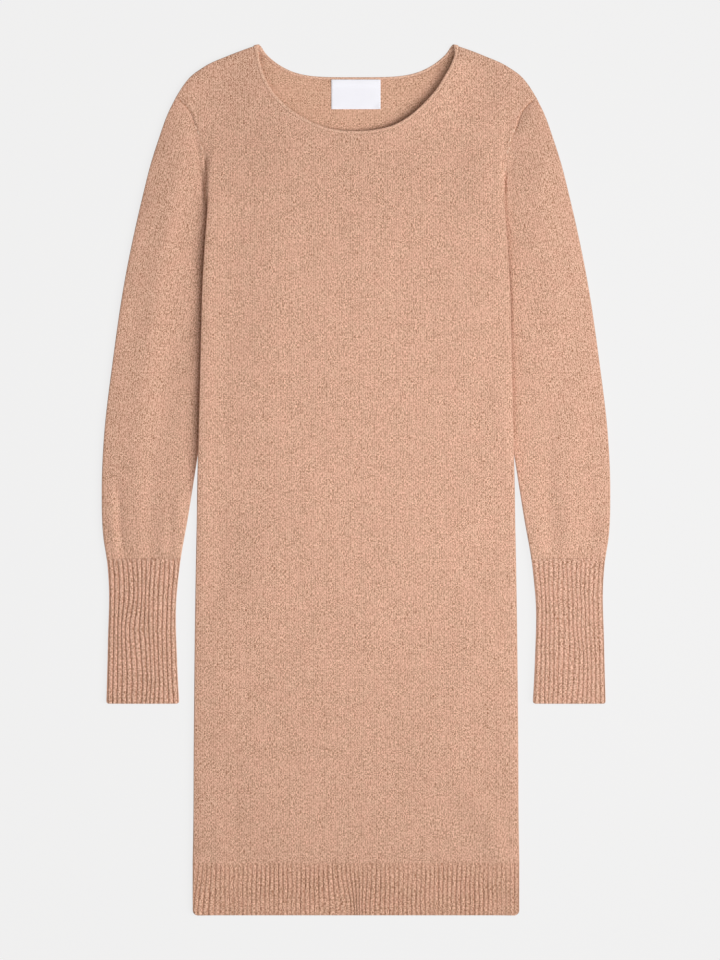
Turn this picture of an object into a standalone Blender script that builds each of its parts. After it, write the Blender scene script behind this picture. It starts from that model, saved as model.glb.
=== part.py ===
# A sweater dress knitted in fine jersey, laid flat with its front up.
# +X is the wearer's left, +Y runs from hem to neck, +Z is up. The origin is the
# middle of the footprint, on the surface that the dress lies on.
# Sizes are in millimetres, and each mesh is scaled to metres when it is built.
import math

import bmesh
import bpy
import numpy as np
from mathutils import Vector
from mathutils.geometry import delaunay_2d_cdt

MM = 0.001

# Cloth
WALL = 2.0  # folded knit, as it lies
SEAM_GAP = 0.3  # between two pieces at a seam
LAYER_GAP = 0.6  # between the back and the front lying on it
ROLL = 3.0  # outer radius of a folded edge
ROLL_ANGLES = (0.0, 30.0, 60.0, 90.0)
RIM_REACH = 25.0  # how far in a folded edge holds the front up

# Body
HEM_Y = -456.0
HEM_SEAM_Y = -400.6
SHOULDER_TIP_Y = 401.6
ARMHOLE_FOOT_Y = 300.0
LIFT = 5.2  # the body's sides lie on the tucked sleeves
LIFT_START_Y = 362.0
LIFT_TOP_FULL_Y = 266.0
LIFT_FOOT_FULL_Y = 22.0
LIFT_FOOT_END_Y = -20.0
LIFT_RAMP = 58.0
LIFT_MARGIN = 6.0  # level cloth kept inside the tucked sleeve's edge
RAMP_START_X = 72.0  # the panels' points stand closer together outside this
RAMP_INSETS = (72.0, 60.0, 48.0, 38.0, 28.0, 17.0, 4.0, -8.0)  # from the tucked sleeve's edge
RAMP_ROWS = 25
LOOSE_ROW_STEP = 34.0  # between the panels' other points
LOOSE_COLUMN_STEP = 36.0

# Neck
NECK_HALF = 106.6
NECK_FRONT_Y = 366.5
NECK_BACK_Y = 421.5
NECK_FRONT_POWER = 1.9
NECK_BACK_POWER = 1.7
NECK_STEPS = [10.0 + 8.0 * step for step in range(11)]  # degrees round the scoop
TRIM_WIDTH = 4.2
TRIM_BULGE = 0.4

# Sleeves and cuffs
CUFF_SEAM_Y = -82.0
CUFF_END_Y = -234.0
SLEEVE_CROWN = 1.8
SLEEVE_CROWN_REACH = 26.0
SLEEVE_EDGE_REACH = 12.0  # from the folded edge to the full crown
FREE_REACH = 60.0  # the sleeve's inner edge comes clear of the body over this length
SEAM_LIFT_REACH = 13.0  # the sleeve falls away from the lifted armhole within this
TUCK_END_Y = 258.0  # where the sleeve's edge goes under the body
TUCK_ROLL = 2.3
CUFF_ROLL = 2.7
CUFF_DIP = 0.7  # how far the middle of a cuff sinks, as a share
CUFF_DIP_REACH = 16.0
CORNER = 6.0  # rounded corner of the hem
CUFF_CORNER = 3.0

# Ribs
HEM_RIBS = 74  # at 4.57 mm
CUFF_RIBS = 16  # on the upper face
RIB_HEIGHT = 0.7
RIB_SHOULDERS = (0.28, 0.72)  # flat top of a rib, as shares of its pitch

# Label
LABEL_SIZE = (51.5, 31.0, 0.6)
LABEL_TOP_Y = 420.5
LABEL_RISE = 0.3

# Outlines: columns are height y and half width x.
SIDE_EDGE = (
    (-456.0, 172.2),
    (-400.0, 172.2),
    (-230.0, 170.0),
    (-84.0, 169.0),
    (0.0, 167.0),
    (160.0, 163.0),
    (210.0, 161.5),
    (264.0, 158.6),
    (300.0, 155.4),
)
ARMHOLE = (
    (300.0, 155.4),
    (323.0, 157.5),
    (348.6, 161.2),
    (372.8, 169.0),
    (390.0, 176.7),
    (401.6, 190.0),
)
SLEEVE_OUTER = (
    (-234.0, 261.5),
    (-170.0, 260.0),
    (-105.0, 259.4),
    (-82.0, 261.5),
    (-62.5, 264.6),
    (-10.0, 266.7),
    (42.5, 264.6),
    (126.5, 255.2),
    (210.5, 242.6),
    (294.5, 224.7),
    (357.5, 206.9),
    (387.0, 197.4),
    (401.6, 190.0),
)
SLEEVE_INNER = (
    (-234.0, 187.0),
    (-188.0, 188.3),
    (-125.0, 189.0),
    (-104.0, 187.4),
    (-82.0, 184.8),
    (-41.5, 177.5),
    (0.5, 170.1),
    (84.5, 157.0),
    (189.5, 141.2),
    (242.0, 134.0),
)
# Shoulder line: columns are half width x and height y.
SHOULDER = (
    (106.6, 456.0),
    (135.5, 445.7),
    (161.7, 433.1),
    (177.5, 420.5),
    (186.0, 408.5),
    (190.0, 401.6),
)

# Rows at which the outlines are read
SIDE_ROWS = (
    [-400.6, -340.0, -270.0, -200.0, -130.0, -60.0, -20.0, -8.0, 2.0, 12.0, 22.0]
    + [40.0, 70.0, 115.0, 160.0, 200.0, 235.0, 262.0, 272.0, 281.0, 291.0, 300.0]
)
ARMHOLE_ROWS = [332.0, 360.0, 378.0, 392.0]
SHOULDER_COLUMNS = [188.4, 184.5, 178.0, 168.0, 154.0, 138.0, 123.0]
HEM_COLUMNS = [-132.0, -88.0, -44.0, 0.0, 44.0, 88.0, 132.0]
HEM_PLAIN_COLUMNS = [-160.0, -146.0, -100.0, -50.0, 0.0, 50.0, 100.0, 146.0, 160.0]
CUFF_ROWS = [CUFF_SEAM_Y - SEAM_GAP / 2, -105.0, -170.0, CUFF_END_Y]
CUFF_PLAIN_COLUMNS = [0.12, 0.3, 0.5, 0.7, 0.88]  # shares of the width
LOOSE_MARGIN = 8.0  # loose points stay this far inside a panel's edges
TIP_SLOPE = 0.665  # of the armhole at the shoulder's tip

# Gathers above the cuffs. Columns: across from the outer edge (share of the width),
# height, half width across, and where along the sleeve it starts (share of its length).
RIGHT_SLEEVE_FOLDS = (
    (0.22, -1.5, 0.06, 0.70),
    (0.44, 0.7, 0.12, 0.35),
    (0.62, -0.8, 0.05, 0.62),
    (0.74, 0.5, 0.07, 0.68),
    (0.84, -0.5, 0.04, 0.80),
)
LEFT_SLEEVE_FOLDS = (
    (0.19, -0.4, 0.05, 0.72),
    (0.45, 0.8, 0.11, 0.60),
    (0.68, -1.3, 0.07, 0.45),
    (0.88, 0.5, 0.07, 0.72),
)
SLEEVE_STATIONS = (
    [0.0, 0.01, 0.022, 0.04, 0.07, 0.12, 0.20, 0.29, 0.38, 0.47]
    + [0.56, 0.65, 0.73, 0.80, 0.86, 0.91, 0.95, 0.98, 1.0]
)

# Colours: linear red, green, blue
JERSEY = (0.62, 0.37, 0.27, 1.0)
RIB = (0.54, 0.32, 0.23, 1.0)
LABEL_WHITE = (0.85, 0.84, 0.86, 1.0)


def smoothstep(value):
    value = min(1.0, max(0.0, value))
    return value * value * (3.0 - 2.0 * value)


def mix(first, second, share):
    return first + (second - first) * share


def read_table(table, place):
    # A smooth curve through a table's rows (Hermite, with the rows' own slopes).
    places = np.array([row[0] for row in table])
    values = np.array([row[1] for row in table])
    slopes = np.gradient(values, places)
    row = int(np.clip(np.searchsorted(places, place) - 1, 0, len(places) - 2))
    span = places[row + 1] - places[row]
    u = (place - places[row]) / span
    start = (2 * u**3 - 3 * u**2 + 1) * values[row] + (u**3 - 2 * u**2 + u) * span * slopes[row]
    end = (3 * u**2 - 2 * u**3) * values[row + 1] + (u**3 - u**2) * span * slopes[row + 1]
    return float(start + end)


def side_x(y):
    return read_table(SIDE_EDGE, y)


def armhole_x(y):
    return read_table(ARMHOLE, y)


def body_edge_x(y):
    return armhole_x(min(y, SHOULDER_TIP_Y)) if y > ARMHOLE_FOOT_Y else side_x(y)


def sleeve_outer_x(y):
    return read_table(SLEEVE_OUTER, y)


def sleeve_inner_x(y):
    return read_table(SLEEVE_INNER, min(y, SLEEVE_INNER[-1][0]))


def shoulder_y(x):
    return read_table(SHOULDER, x)


# ---- heights of the lying cloth


def silhouette():
    # The folded edge from the neck over the shoulder and down the sleeve.
    shoulder = [(x, shoulder_y(x)) for x in np.linspace(NECK_HALF, 189.0, 30)]
    sleeve = [(sleeve_outer_x(y), y) for y in np.linspace(SHOULDER_TIP_Y, 200.0, 40)]
    return np.array(shoulder + sleeve)


SILHOUETTE = silhouette()


def silhouette_distance(x, y):
    starts = SILHOUETTE[:-1]
    spans = SILHOUETTE[1:] - starts
    place = np.array((abs(x), y))
    shares = np.clip(((place - starts) * spans).sum(1) / (spans**2).sum(1), 0.0, 1.0)
    nearest = starts + spans * shares[:, None]
    return float(np.sqrt(((nearest - place) ** 2).sum(1)).min())


def rim_share(distance):
    return 1.0 - smoothstep((distance - ROLL) / RIM_REACH)


def side_roll(y):
    # How far the side edge is folded: flush at the armhole's foot, full below it.
    return smoothstep((ARMHOLE_FOOT_Y - y) / (ARMHOLE_FOOT_Y - LIFT_TOP_FULL_Y))


def body_lift(x, y):
    # The body climbs onto the sleeve that is tucked under its side.
    down = smoothstep((LIFT_START_Y - y) / (LIFT_START_Y - LIFT_TOP_FULL_Y))
    up = smoothstep((y - LIFT_FOOT_END_Y) / (LIFT_FOOT_FULL_Y - LIFT_FOOT_END_Y))
    level_x = min(sleeve_inner_x(y), side_x(min(y, ARMHOLE_FOOT_Y))) - LIFT_MARGIN
    across = smoothstep((abs(x) - level_x + LIFT_RAMP) / LIFT_RAMP)
    return LIFT * down * up * across


def seam_lift(x, y):
    # The sleeve hangs on the lifted armhole, then drops beside the body's side edge.
    if y < TUCK_END_Y:
        return 0.0
    out = max(0.0, abs(x) - body_edge_x(y))
    fall = 1.0 - smoothstep(out / SEAM_LIFT_REACH)
    drop = smoothstep((y - TUCK_END_Y - 4.0) / (ARMHOLE_FOOT_Y - TUCK_END_Y - 4.0))
    return body_lift(body_edge_x(y), y) * fall * drop


def rim_height(x, y):
    # A folded edge holds the front up by what its roll is thicker than two flat walls.
    full = 2.0 * ROLL - 2.0 * WALL - LAYER_GAP
    at_shoulder = rim_share(silhouette_distance(x, y))
    at_side = 0.0
    if y < ARMHOLE_FOOT_Y:
        at_side = rim_share(side_x(y) - abs(x)) * side_roll(y)
    return full * max(at_shoulder, at_side)


def panel_height(face, skin, x, y):
    # face is +1 on the front and -1 on the back; skin is outer or inner.
    lift = body_lift(x, y)
    if face < 0:
        return lift + (0.0 if skin == "outer" else WALL)
    bottom = WALL + LAYER_GAP + rim_height(x, y) + lift
    return bottom + (WALL if skin == "outer" else 0.0)


def roll_offset(skin, angle):
    # Distance in from a folded edge, and height from its middle, at an angle of the fold.
    turn = math.radians(angle)
    radius = ROLL if skin == "outer" else ROLL - WALL
    return ROLL - radius * math.cos(turn), max(radius * math.sin(turn), SEAM_GAP / 2)


# ---- neck


def neck_curve(face, offset, angle):
    # A scoop from the neck point (0 degrees) to the middle (90), grown by offset.
    half = NECK_HALF + offset
    top = shoulder_y(half)
    bottom = (NECK_FRONT_Y if face > 0 else NECK_BACK_Y) - offset
    power = 2.0 / (NECK_FRONT_POWER if face > 0 else NECK_BACK_POWER)
    turn = math.radians(angle)
    x = half * max(0.0, math.cos(turn)) ** power
    return x, top - (top - bottom) * math.sin(turn) ** power


def neck_near_fold(face, offset, drop):
    # A place on the scoop just under the shoulder's fold.
    half = NECK_HALF + offset
    top = shoulder_y(half)
    bottom = (NECK_FRONT_Y if face > 0 else NECK_BACK_Y) - offset
    power = NECK_FRONT_POWER if face > 0 else NECK_BACK_POWER
    return half * (1.0 - (drop / (top - bottom)) ** power) ** (1.0 / power), top - drop


# ---- one closed piece of cloth


class Cloth:
    def __init__(self):
        self.points = []
        self.faces = []

    def add(self, points):
        first = len(self.points)
        self.points.extend(points)
        return list(range(first, len(self.points)))

    def strip(self, first, second):
        for a, b, c, d in zip(first, first[1:], second[1:], second):
            self.faces.append((a, b, c, d))

    def sheet(self, rows):
        for first, second in zip(rows, rows[1:]):
            self.strip(first, second)

    def zipper(self, first, first_at, second, second_at):
        # Triangles between two lines of different counts, matched by their places.
        a = 0
        b = 0
        while a < len(first) - 1 or b < len(second) - 1:
            step_first = a < len(first) - 1
            if step_first and b < len(second) - 1:
                step_first = first_at[a + 1] <= second_at[b + 1]
            if step_first:
                self.faces.append((first[a], first[a + 1], second[b]))
                a += 1
            else:
                self.faces.append((first[a], second[b + 1], second[b]))
                b += 1

    def fill(self, loop, inside):
        # Triangles over the area within a loop, through the points inside it.
        keys = loop + inside
        flat = [Vector(self.points[key][:2]) for key in keys]
        border = list(range(len(loop)))
        result = delaunay_2d_cdt(flat, [], [border], 1, 1e-6)
        back = [keys[sources[0]] for sources in result[3]]
        for face in result[2]:
            self.faces.append(tuple(back[corner] for corner in face))

    def build(self, name, colour):
        mesh = bpy.data.meshes.new(name)
        points = [tuple(value * MM for value in point) for point in self.points]
        faces = [face for face in self.faces if len(set(face)) == len(face)]
        mesh.from_pydata(points, [], faces)
        mesh.materials.append(knit_material(name, colour))
        thing = bpy.data.objects.new(name, mesh)
        bpy.context.scene.collection.objects.link(thing)
        close_and_face_out(mesh)
        mesh.shade_smooth()
        mesh.set_sharp_from_angle(angle=math.radians(40.0))
        return thing


def close_and_face_out(mesh):
    work = bmesh.new()
    work.from_mesh(mesh)
    bmesh.ops.recalc_face_normals(work, faces=work.faces)
    work.to_mesh(mesh)
    work.free()


def knit_material(name, colour):
    material = bpy.data.materials.new(name + "_material")
    material.use_nodes = True
    surface = material.node_tree.nodes["Principled BSDF"]
    surface.inputs["Base Color"].default_value = colour
    surface.inputs["Roughness"].default_value = 0.9
    surface.inputs["Metallic"].default_value = 0.0
    return material


# ---- front and back


def side_point(face, skin, angle, side, y):
    # A point of the folded side edge, flattened towards the armhole's foot.
    distance, rise = roll_offset(skin, angle)
    flat_distance = ROLL * (1.0 - math.cos(math.radians(angle)))
    roll = side_roll(y)
    inset = mix(flat_distance, distance, roll)
    x = side_x(y) - inset
    rolled_z = ROLL + face * rise + body_lift(x, y)
    flat_z = panel_height(face, skin, x, y)
    return side * x, y, mix(flat_z, rolled_z, roll)


def shoulder_point(face, skin, angle, side, x):
    # A point of the folded shoulder. Its ends follow the armhole and the neck edge.
    distance, rise = roll_offset(skin, angle)
    z = ROLL + face * rise
    tip_x = SHOULDER[-1][0]
    neck_x = NECK_HALF + TRIM_WIDTH + SEAM_GAP
    if x >= tip_x:
        y = SHOULDER_TIP_Y - TIP_SLOPE * distance
        return side * armhole_x(y), y, z
    if x <= neck_x:
        place = neck_near_fold(face, TRIM_WIDTH + SEAM_GAP, distance)
        return side * place[0], place[1], z
    slope = shoulder_y(x + 0.5) - shoulder_y(x - 0.5)
    length = math.hypot(1.0, slope)
    return side * (x + slope / length * distance), shoulder_y(x) - distance / length, z


def panel_inside_points():
    # Loose points of a panel: close together where it climbs onto a sleeve.
    places = []
    for row, y in enumerate(np.arange(HEM_SEAM_Y + 25.0, 440.0, LOOSE_ROW_STEP)):
        shift = LOOSE_COLUMN_STEP / 4.0 if row % 2 else 0.0
        for x in np.arange(-162.0 + shift, 172.0, LOOSE_COLUMN_STEP):
            places.append((float(x), float(y)))
    return [place for place in places if not in_ramp(*place)] + ramp_points()


def in_ramp(x, y):
    return abs(x) > RAMP_START_X and LIFT_FOOT_END_Y - 16.0 < y < LIFT_START_Y + 8.0


def ramp_points():
    places = []
    for row, y in enumerate(np.linspace(LIFT_FOOT_END_Y - 6.0, LIFT_START_Y - 2.0, RAMP_ROWS)):
        edge = min(sleeve_inner_x(y), side_x(min(y, ARMHOLE_FOOT_Y)))
        shift = 4.0 if row % 2 else 0.0
        for inset in RAMP_INSETS:
            x = edge - inset - shift
            if RAMP_START_X + 2.0 < x < body_edge_x(y) - 9.0:
                places.append((x, float(y)))
                places.append((-x, float(y)))
    return places


def inside_panel(face, x, y):
    half = abs(x)
    if half > body_edge_x(y) - LOOSE_MARGIN:
        return False
    if half > NECK_HALF and y > shoulder_y(half) - ROLL - LOOSE_MARGIN:
        return False
    reach = NECK_HALF + TRIM_WIDTH + LOOSE_MARGIN
    if half < reach:
        power = NECK_FRONT_POWER if face > 0 else NECK_BACK_POWER
        bottom = (NECK_FRONT_Y if face > 0 else NECK_BACK_Y) - TRIM_WIDTH - LOOSE_MARGIN
        top = shoulder_y(NECK_HALF + TRIM_WIDTH)
        if y > top - (top - bottom) * (1.0 - (half / reach) ** power) ** (1.0 / power):
            return False
    return y > HEM_SEAM_Y + LOOSE_MARGIN


def panel_skin(cloth, face, skin):
    # One skin of a panel: folded edges as strips, the rest filled. Returns its border.
    sides = {}
    shoulders = {}
    columns = SHOULDER_COLUMNS
    shoulder_stops = [SHOULDER[-1][0]] + columns + [NECK_HALF + TRIM_WIDTH + SEAM_GAP]
    for side in (1, -1):
        sides[side] = [
            cloth.add([side_point(face, skin, angle, side, y) for y in SIDE_ROWS])
            for angle in ROLL_ANGLES
        ]
        shoulders[side] = [
            cloth.add([shoulder_point(face, skin, angle, side, x) for x in shoulder_stops])
            for angle in ROLL_ANGLES
        ]
        cloth.sheet(sides[side])
        cloth.sheet(shoulders[side])

    def level(places):
        return cloth.add([(x, y, panel_height(face, skin, x, y)) for x, y in places])

    hem = level([(x, HEM_SEAM_Y) for x in HEM_COLUMNS])
    arm = {side: level([(side * armhole_x(y), y) for y in ARMHOLE_ROWS]) for side in (1, -1)}
    scoop = [neck_curve(face, TRIM_WIDTH + SEAM_GAP, angle) for angle in NECK_STEPS]
    neck = level(scoop + [(-x, y) for x, y in scoop[-2::-1]])

    right = sides[1]
    left = sides[-1]
    right_shoulder = shoulders[1]
    left_shoulder = shoulders[-1]
    inner_loop = [left[3][0]] + hem + right[3][:-1] + [line[-1] for line in right[::-1]]
    inner_loop += arm[1] + right_shoulder[3] + neck + left_shoulder[3][::-1]
    inner_loop += arm[-1][::-1] + [line[-1] for line in left] + left[3][-2:0:-1]
    places = [place for place in panel_inside_points() if inside_panel(face, *place)]
    cloth.fill(inner_loop, level(places))

    border = [line[0] for line in left] + hem + [line[0] for line in right[::-1]] + right[0][1:]
    border += arm[1] + [line[0] for line in right_shoulder[::-1]] + right_shoulder[0][1:]
    border += [line[-1] for line in right_shoulder[1:]] + neck
    border += [line[-1] for line in left_shoulder[::-1]] + left_shoulder[0][-2::-1]
    border += [line[0] for line in left_shoulder[1:]] + arm[-1][::-1] + left[0][::-1][:-1]
    return border


def make_panel(name, face):
    cloth = Cloth()
    outer = panel_skin(cloth, face, "outer")
    inner = panel_skin(cloth, face, "inner")
    cloth.strip(outer + outer[:1], inner + inner[:1])
    return cloth.build(name, JERSEY)


# ---- neck trim and label


def trim_station(face, angle, drop):
    # A cross section of the trim: outer skin out to in, then inner skin back.
    points = []
    for skin, offsets in (("outer", (1.0, 0.5, 0.0)), ("inner", (0.0, 0.5, 1.0))):
        for share in offsets:
            offset = TRIM_WIDTH * share
            if drop is not None:
                distance, rise = roll_offset(skin, drop)
                x, y = neck_near_fold(face, offset, distance)
                z = ROLL + face * rise * (0.0 if drop == 0.0 else 1.0)
            else:
                x, y = neck_curve(face, offset, angle)
                z = panel_height(face, skin, x, y)
                upper = (face > 0) == (skin == "outer")
                z += TRIM_BULGE if upper and share == 0.5 else 0.0
            points.append((x, y, z))
    return points


def make_neck_trim():
    front = [trim_station(1, None, drop) for drop in ROLL_ANGLES]
    front += [trim_station(1, angle, None) for angle in NECK_STEPS]
    back = [trim_station(-1, None, drop) for drop in ROLL_ANGLES[1:]]
    back += [trim_station(-1, angle, None) for angle in NECK_STEPS]
    half = front[::-1] + back
    mirrored = [[(-x, y, z) for x, y, z in station] for station in half[::-1]]
    stations = half + mirrored[1:-1]
    cloth = Cloth()
    rings = [cloth.add(station) for station in stations]
    rings = [ring + ring[:1] for ring in rings]
    cloth.sheet(rings + rings[:1])
    return cloth.build("neck_trim", JERSEY)


def make_label():
    width, depth, thick = LABEL_SIZE
    bottom = WALL + TRIM_BULGE + LABEL_RISE
    cloth = Cloth()
    rows = []
    for drop, rise in ((depth, 0.0), (0.0, 0.0), (0.0, thick), (depth, thick)):
        y = LABEL_TOP_Y - drop
        z = bottom + rise
        rows.append(cloth.add([(-width / 2, y, z), (width / 2, y, z)]))
    cloth.sheet(rows + rows[:1])
    cloth.faces.append(tuple(row[0] for row in rows))
    cloth.faces.append(tuple(row[1] for row in rows))
    return cloth.build("neck_label", LABEL_WHITE)


# ---- sleeves


class Route:
    # A line through points, read by its length share.
    def __init__(self, points):
        self.points = np.array(points, dtype=float)
        steps = np.sqrt((np.diff(self.points, axis=0) ** 2).sum(1))
        self.lengths = np.concatenate([[0.0], np.cumsum(steps)])

    def at(self, share):
        length = share * self.lengths[-1]
        return np.array([np.interp(length, self.lengths, self.points[:, axis]) for axis in (0, 1)])

    def share_of(self, point):
        nearest = int(np.argmin(((self.points - np.array(point)) ** 2).sum(1)))
        return float(self.lengths[nearest] / self.lengths[-1])


def armhole_route():
    # Round the armhole, a short way down the side, then in under the body.
    rows = np.concatenate([np.arange(SHOULDER_TIP_Y, ARMHOLE_FOOT_Y, -0.4), ARMHOLE_ROWS])
    rows = sorted(set(float(row) for row in rows), reverse=True)
    line = [(armhole_x(y), y) for y in rows]
    line += [(side_x(y), y) for y in np.linspace(ARMHOLE_FOOT_Y, TUCK_END_Y, 15)]
    underarm = SLEEVE_INNER[-1]
    start = np.array(line[-1])
    line += [tuple(mix(start, np.array((underarm[1], underarm[0])), share)) for share in (0.5, 1.0)]
    line = np.array(line)
    along = np.gradient(line, axis=0)
    along /= np.sqrt((along**2).sum(1))[:, None]
    beside = np.stack([-along[:, 1], along[:, 0]], axis=1)
    return Route(line), Route(line + beside * SEAM_GAP)


SEAM_LINE, ARMHOLE_LINE = armhole_route()


def edge_route(table, top_y):
    rows = np.linspace(top_y, CUFF_SEAM_Y + SEAM_GAP / 2, 160)
    return Route([(read_table(table, y), y) for y in rows])


def sleeve_columns():
    # Length shares of the armhole's points, so that both sides of the seam match.
    middle_y = mix(ARMHOLE_FOOT_Y, TUCK_END_Y, 0.5)
    stops = [(armhole_x(y), y) for y in ARMHOLE_ROWS[::-1]]
    stops += [(side_x(y), y) for y in (ARMHOLE_FOOT_Y, middle_y, TUCK_END_Y)]
    return [SEAM_LINE.share_of(stop) for stop in stops]


class Sleeve:
    def __init__(self, folds):
        self.folds = folds
        self.outer = edge_route(SLEEVE_OUTER, SHOULDER_TIP_Y - SEAM_GAP)
        self.inner = edge_route(SLEEVE_INNER, SLEEVE_INNER[-1][0])

    def place(self, across, along):
        # A surface spanned between the armhole, the two edges and the cuff's seam.
        at_outer = self.outer.at(0.0) - ARMHOLE_LINE.at(0.0)
        at_inner = self.inner.at(0.0) - ARMHOLE_LINE.at(1.0)
        top = ARMHOLE_LINE.at(across) + mix(at_outer, at_inner, across)
        cuff = mix(self.outer.at(1.0), self.inner.at(1.0), across)
        corners = mix(
            mix(self.outer.at(0.0), self.inner.at(0.0), across),
            mix(self.outer.at(1.0), self.inner.at(1.0), across),
            along,
        )
        edges = mix(self.outer.at(along), self.inner.at(along), across)
        return mix(top, cuff, along) + edges - corners

    def width(self, along):
        if along == 0.0:
            return float(ARMHOLE_LINE.lengths[-1])
        return float(np.sqrt(((self.outer.at(along) - self.inner.at(along)) ** 2).sum()))

    def free(self, along):
        # 0 while the inner edge is under the body, 1 once it lies clear of it.
        return smoothstep((LIFT_FOOT_FULL_Y - self.inner.at(along)[1]) / FREE_REACH)

    def fold_height(self, across, along):
        total = 0.0
        for centre, height, half, start in self.folds:
            grow = smoothstep((along - start) / (0.97 - start))
            total += height * grow * math.exp(-(((across - centre) / half) ** 2))
        return total

    def top(self, across, along, x, y):
        # Height of the sleeve's upper face.
        low = 2.0 * WALL + LAYER_GAP
        outer_distance = across * self.width(along)
        out = abs(x) - body_edge_x(y) - 2.0
        clear = max(smoothstep(out / SLEEVE_CROWN_REACH) if out > 0 else 0.0, self.free(along))
        rim = 2.0 * ROLL - low
        inner_distance = (1.0 - across) * self.width(along)
        at_edge = smoothstep((outer_distance - ROLL) / SLEEVE_EDGE_REACH)
        at_inner = smoothstep((inner_distance - ROLL) / SLEEVE_EDGE_REACH)
        crown = mix(rim, SLEEVE_CROWN, at_edge * mix(1.0, at_inner, self.free(along)))
        rim_here = rim * rim_share(silhouette_distance(x, y))
        fold = self.fold_height(across, along) * at_edge
        return low + mix(rim_here, crown, clear) + fold + seam_lift(x, y)

    def edge_point(self, edge, skin, angle, along):
        radius = ROLL if edge == "outer" else mix(TUCK_ROLL, ROLL, self.free(along))
        skin_radius = radius if skin == "outer" else radius - WALL
        turn = math.radians(angle)
        distance = radius - skin_radius * math.cos(turn)
        share = distance / self.width(along)
        across = share if edge == "outer" else 1.0 - share
        x, y = self.place(across, along)
        return x, y, radius + skin_radius * math.sin(turn)

    def flat_point(self, upper, skin, across, along):
        x, y = self.place(across, along)
        if upper:
            z = self.top(across, along, x, y)
            return x, y, z if skin == "outer" else z - WALL
        return x, y, seam_lift(x, y) + (0.0 if skin == "outer" else WALL)

    def ring(self, skin, along):
        columns = sleeve_columns()
        angles = ROLL_ANGLES
        points = [self.edge_point("outer", skin, angle, along) for angle in angles]
        points += [self.flat_point(True, skin, across, along) for across in columns]
        points += [self.edge_point("inner", skin, angle, along) for angle in angles[::-1]]
        points += [self.edge_point("inner", skin, -angle, along) for angle in angles[1:]]
        points += [self.flat_point(False, skin, across, along) for across in columns[::-1]]
        points += [self.edge_point("outer", skin, -angle, along) for angle in angles[:0:-1]]
        return [tuple(float(value) for value in point) for point in points]


def make_sleeve(name, side, folds):
    sleeve = Sleeve(folds)
    cloth = Cloth()
    rims = []
    for skin in ("outer", "inner"):
        rings = []
        for along in SLEEVE_STATIONS:
            ring = cloth.add([(side * x, y, z) for x, y, z in sleeve.ring(skin, along)])
            rings.append(ring + ring[:1])
        cloth.sheet(rings)
        rims.append((rings[0], rings[-1]))
    cloth.strip(rims[0][0], rims[1][0])
    cloth.strip(rims[0][1], rims[1][1])
    return cloth.build(name, JERSEY)


# ---- ribs


def rib_columns(start, end, count):
    # Places and heights across a stretch of rib: a valley, then a flat top, for each rib.
    columns = []
    for rib in range(count):
        columns.append((rib / count, 0.0))
        columns += [((rib + share) / count, RIB_HEIGHT) for share in RIB_SHOULDERS]
    columns.append((1.0, 0.0))
    return [(mix(start, end, place), height) for place, height in columns]


def hem_bottom(distance):
    # The lower edge rises round the corner.
    if distance >= CORNER:
        return HEM_Y
    return HEM_Y + CORNER - math.sqrt(CORNER**2 - (CORNER - distance) ** 2)


def make_hem(name, face):
    cloth = Cloth()
    top_y = HEM_SEAM_Y - SEAM_GAP
    half = side_x(top_y)
    skins = {}
    for skin in ("outer", "inner"):
        edge = [roll_offset(skin, angle) for angle in ROLL_ANGLES]
        ribbed = face > 0 and skin == "outer"
        if ribbed:
            middle = rib_columns(-half + ROLL, half - ROLL, HEM_RIBS)[1:-1]
        else:
            middle = [(x, 0.0) for x in HEM_PLAIN_COLUMNS]
        columns = [(-half + distance, ROLL + face * rise) for distance, rise in edge]
        columns += [(x, panel_height(face, skin, x, top_y) + height) for x, height in middle]
        columns += [(half - distance, ROLL + face * rise) for distance, rise in edge[::-1]]
        rows = [cloth.add([(x, top_y, z) for x, z in columns])]
        rows.append(cloth.add([(x, hem_bottom(half - abs(x)), z) for x, z in columns]))
        cloth.sheet(rows)
        skins[skin] = (rows, [x for x, z in columns])
    outer, outer_at = skins["outer"]
    inner, inner_at = skins["inner"]
    for row in (0, 1):
        cloth.zipper(outer[row], outer_at, inner[row], inner_at)
    for end in (0, -1):
        cloth.strip([line[end] for line in outer], [line[end] for line in inner])
    return cloth.build(name, RIB)


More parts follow.
